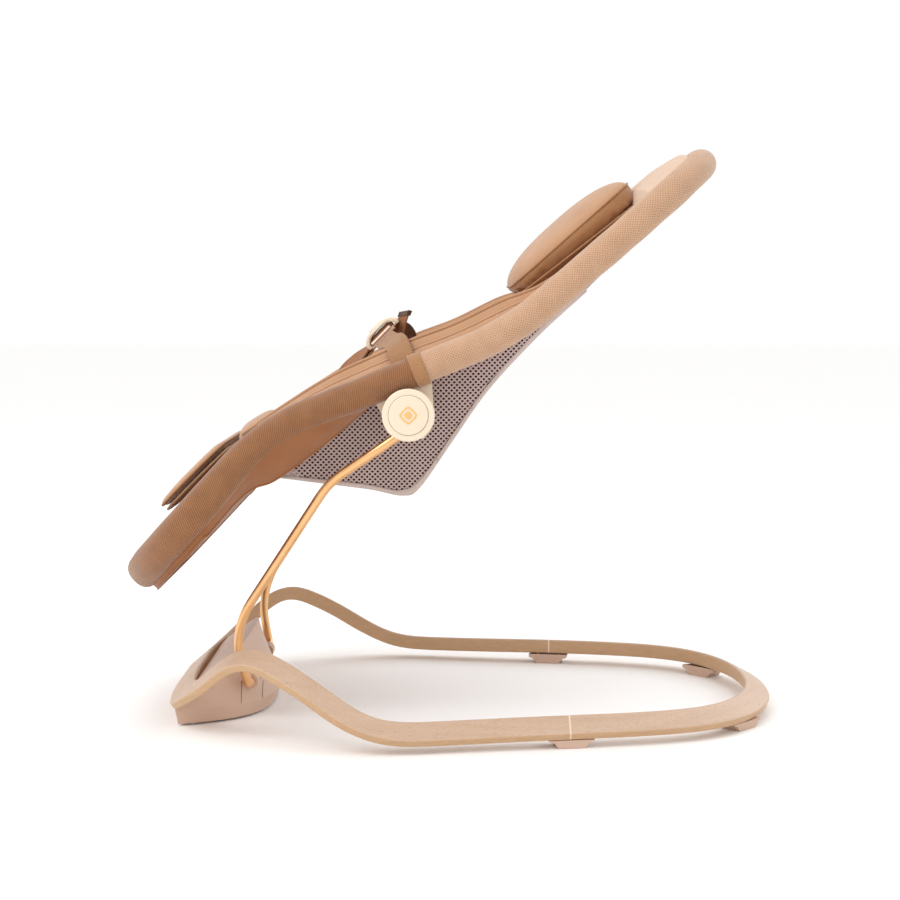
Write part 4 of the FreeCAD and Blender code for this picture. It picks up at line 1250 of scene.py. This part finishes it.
def build_straps():
    """Waist straps over the liner's edge, crotch strap, and the folded strap end above the buckle."""
    for name, side in SIDES.items():
        line = [at_buckle(0, side * 32, -2), at_buckle(-1, side * 46, -4.6)]
        line += [mm(x, side * y, z) for x, y, z in ((-66, 98, 384), (-61.5, 126, 385.5), (-57, 146, 383.5),
                                                    (-53, 162, 375.5), (-49.5, 173, 366))]
        faces = [BUCKLE_RISE, BUCKLE_RISE]
        faces += [Vector((x, side * y, z)) for x, y, z in ((-0.60, 0.05, 0.80), (-0.55, 0.15, 0.80),
                                                           (-0.50, 0.3, 0.80), (-0.35, 0.55, 0.75),
                                                           (-0.3, 0.7, 0.65))]
        widths = [BUCKLE_ALONG, BUCKLE_ALONG] + vectors((0.74, 0, 0.67), (0.78, 0, 0.62), (0.84, 0, 0.54),
                                                        (0.88, 0, 0.47), (0.90, 0, 0.43))
        piece = strap("waist_webbing_" + name, line, faces, widths)
        keep_piece(piece, "tan_web", ["waist_strap_" + name])

    line = [mm(-119, 0, 272), mm(-128, 0, 296), mm(-129, 0, 322), mm(-118, 0, 346), mm(-104, 0, 362),
            at_buckle(-20.4, 0, 0)]
    widths = vectors((0, 1, 0), (-0.1, 1, 0.05), (-0.36, 0.86, 0.30), (-0.42, 0.84, 0.40),
                     (-0.34, 0.88, 0.34), (-0.1, 1, 0.1))
    faces = vectors((-0.95, 0, 0.3), (-0.98, 0, 0.1), (-0.9, -0.3, 0.3), (-0.7, -0.4, 0.6),
                    (-0.7, -0.4, 0.65), BUCKLE_RISE)
    piece = strap("crotch_webbing", line, faces, widths, thick=2.2)
    keep_piece(piece, "amber_web", ["crotch_strap"])
    under = Vector((0.0035, -0.006, -0.0045))
    line = [point + under for point in line[2:5]] + [at_buckle(-17, -4, -4)]
    piece = strap("crotch_webbing_tail", line, faces[2:], widths[2:], thick=1.8, width=18.0)
    keep_piece(piece, "tan_web", slot="dark_webbing")

    # webbing folded inside the buckle, its end standing up with a hem, and a dark strap beside the far waist
    # strap as painted shade
    line = [at_buckle(along, 0, rise)
            for along, rise in ((-17, -0.6), (-8, 0.6), (0, 1.0), (8, 0.6), (15, -0.6))]
    across = Vector((0, 1, 0))
    piece = strap("buckle_webbing_layers", line, [BUCKLE_RISE] * 5, [across] * 5, thick=7.2, width=29.0)
    keep_piece(piece, "amber_web")
    across = Vector((0.52, -0.85, 0.10))
    face = Vector((-0.82, -0.53, 0.2))
    line = [mm(-59.5, 4, 386), mm(-58, 4, 393), mm(-56.5, 4, 400), mm(-54.5, 4, 406.5), mm(-52.5, 4, 411)]
    piece = strap("strap_end_fold", line, [face] * 5, [across] * 5, thick=2.0, width=20.0)
    keep_piece(piece, "amber_web")
    line = [mm(-53.8, 4, 408), mm(-52.6, 4, 411), mm(-51.8, 4, 413)]
    piece = strap("strap_end_hem", line, [face] * 3, [across] * 3, thick=4.6, width=21.0)
    keep_piece(piece, "dark_web")
    # painted shade: a dark strap piece where the far waist strap's underside lies in shade
    line = [mm(-66, 34, 392), mm(-61, 48, 393), mm(-56, 62, 389), mm(-52, 76, 382), mm(-51, 86, 374)]
    faces = vectors((-0.66, 0.05, 0.75), (-0.6, 0.2, 0.77), (-0.5, 0.4, 0.75), (-0.4, 0.6, 0.6),
                    (-0.3, 0.8, 0.4))
    piece = strap("far_strap_painted_shade", line, faces, [Vector((0.75, 0, 0.66))] * 5, thick=2.2)
    keep_piece(piece, "dark_web")


def build_emblems():
    """Plain gold lozenge on each recline button, as a frame and a smaller lozenge in it."""
    centre = mm(-44, 0, 317)
    low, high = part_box("recline_button_left")
    face_y = max(abs(low.y), abs(high.y))
    for name, side in SIDES.items():
        for number, outer, inner in ((1, 8.6, 6.6), (2, 4.2, 0.0)):
            rows = []
            for radius, lift in ((outer, -0.05), (outer, 0.18), (outer - 0.3, 0.3), (inner + 0.3, 0.3),
                                 (inner, 0.18)):
                row = []
                for angle in angles(64):
                    across, up = math.cos(angle), math.sin(angle)
                    reach = radius / (abs(across) ** 1.25 + abs(up) ** 1.25) ** 0.8 / 1000
                    out = side * (face_y + lift / 1000)
                    row.append(centre + Vector((reach * across, out, reach * up)))
                rows.append(row)
            piece = skin("emblem_%s_%d" % (name, number), rows, around=True)
            keep_piece(piece, "emblem", body="button_" + name)


# ---- Materials of the CAD nodes that stay as they are ----
def paint_frame():
    """Gives every shown CAD node its procedural material."""
    groups = {
        "wood": ["front_ring", "rear_ring"],
        "cream": pair("ring_joiner") + pair("hub_socket") + pair("recline_button") + pair("hub_plate")
        + ["buckle_button"],
        "beige": ["housing_lower", "housing_upper"] + pair("rod_bush") + pair("joint_foot")
        + pair("rear_foot"),
        "rubber": pair("front_foot") + pair("button_spring"),
        "steel": ["housing_screws", "ring_screws", "foot_screws", "plate_rivets", "seat_frame_front",
                  "seat_frame_rear"] + pair("hub_axle") + pair("frame_spigot") + pair("buckle_tongue"),
        "gold": ["support_rod"],
    }
    for paint, names in groups.items():
        for name in names:
            node = NODES[name]
            if not node.material_slots:
                node.data.materials.append(PAINTS[paint])
            for slot in node.material_slots:
                slot.material = PAINTS[paint]


PAINTS = make_paints()
build_stage()
paint_frame()
build_sleeves()
build_leg_cloth()
build_bucket()
build_head_face()
build_liner()
build_leg_pad()
build_knee_roll()
build_pillow()
build_buckle()
build_sliders()
build_straps()
build_emblems()
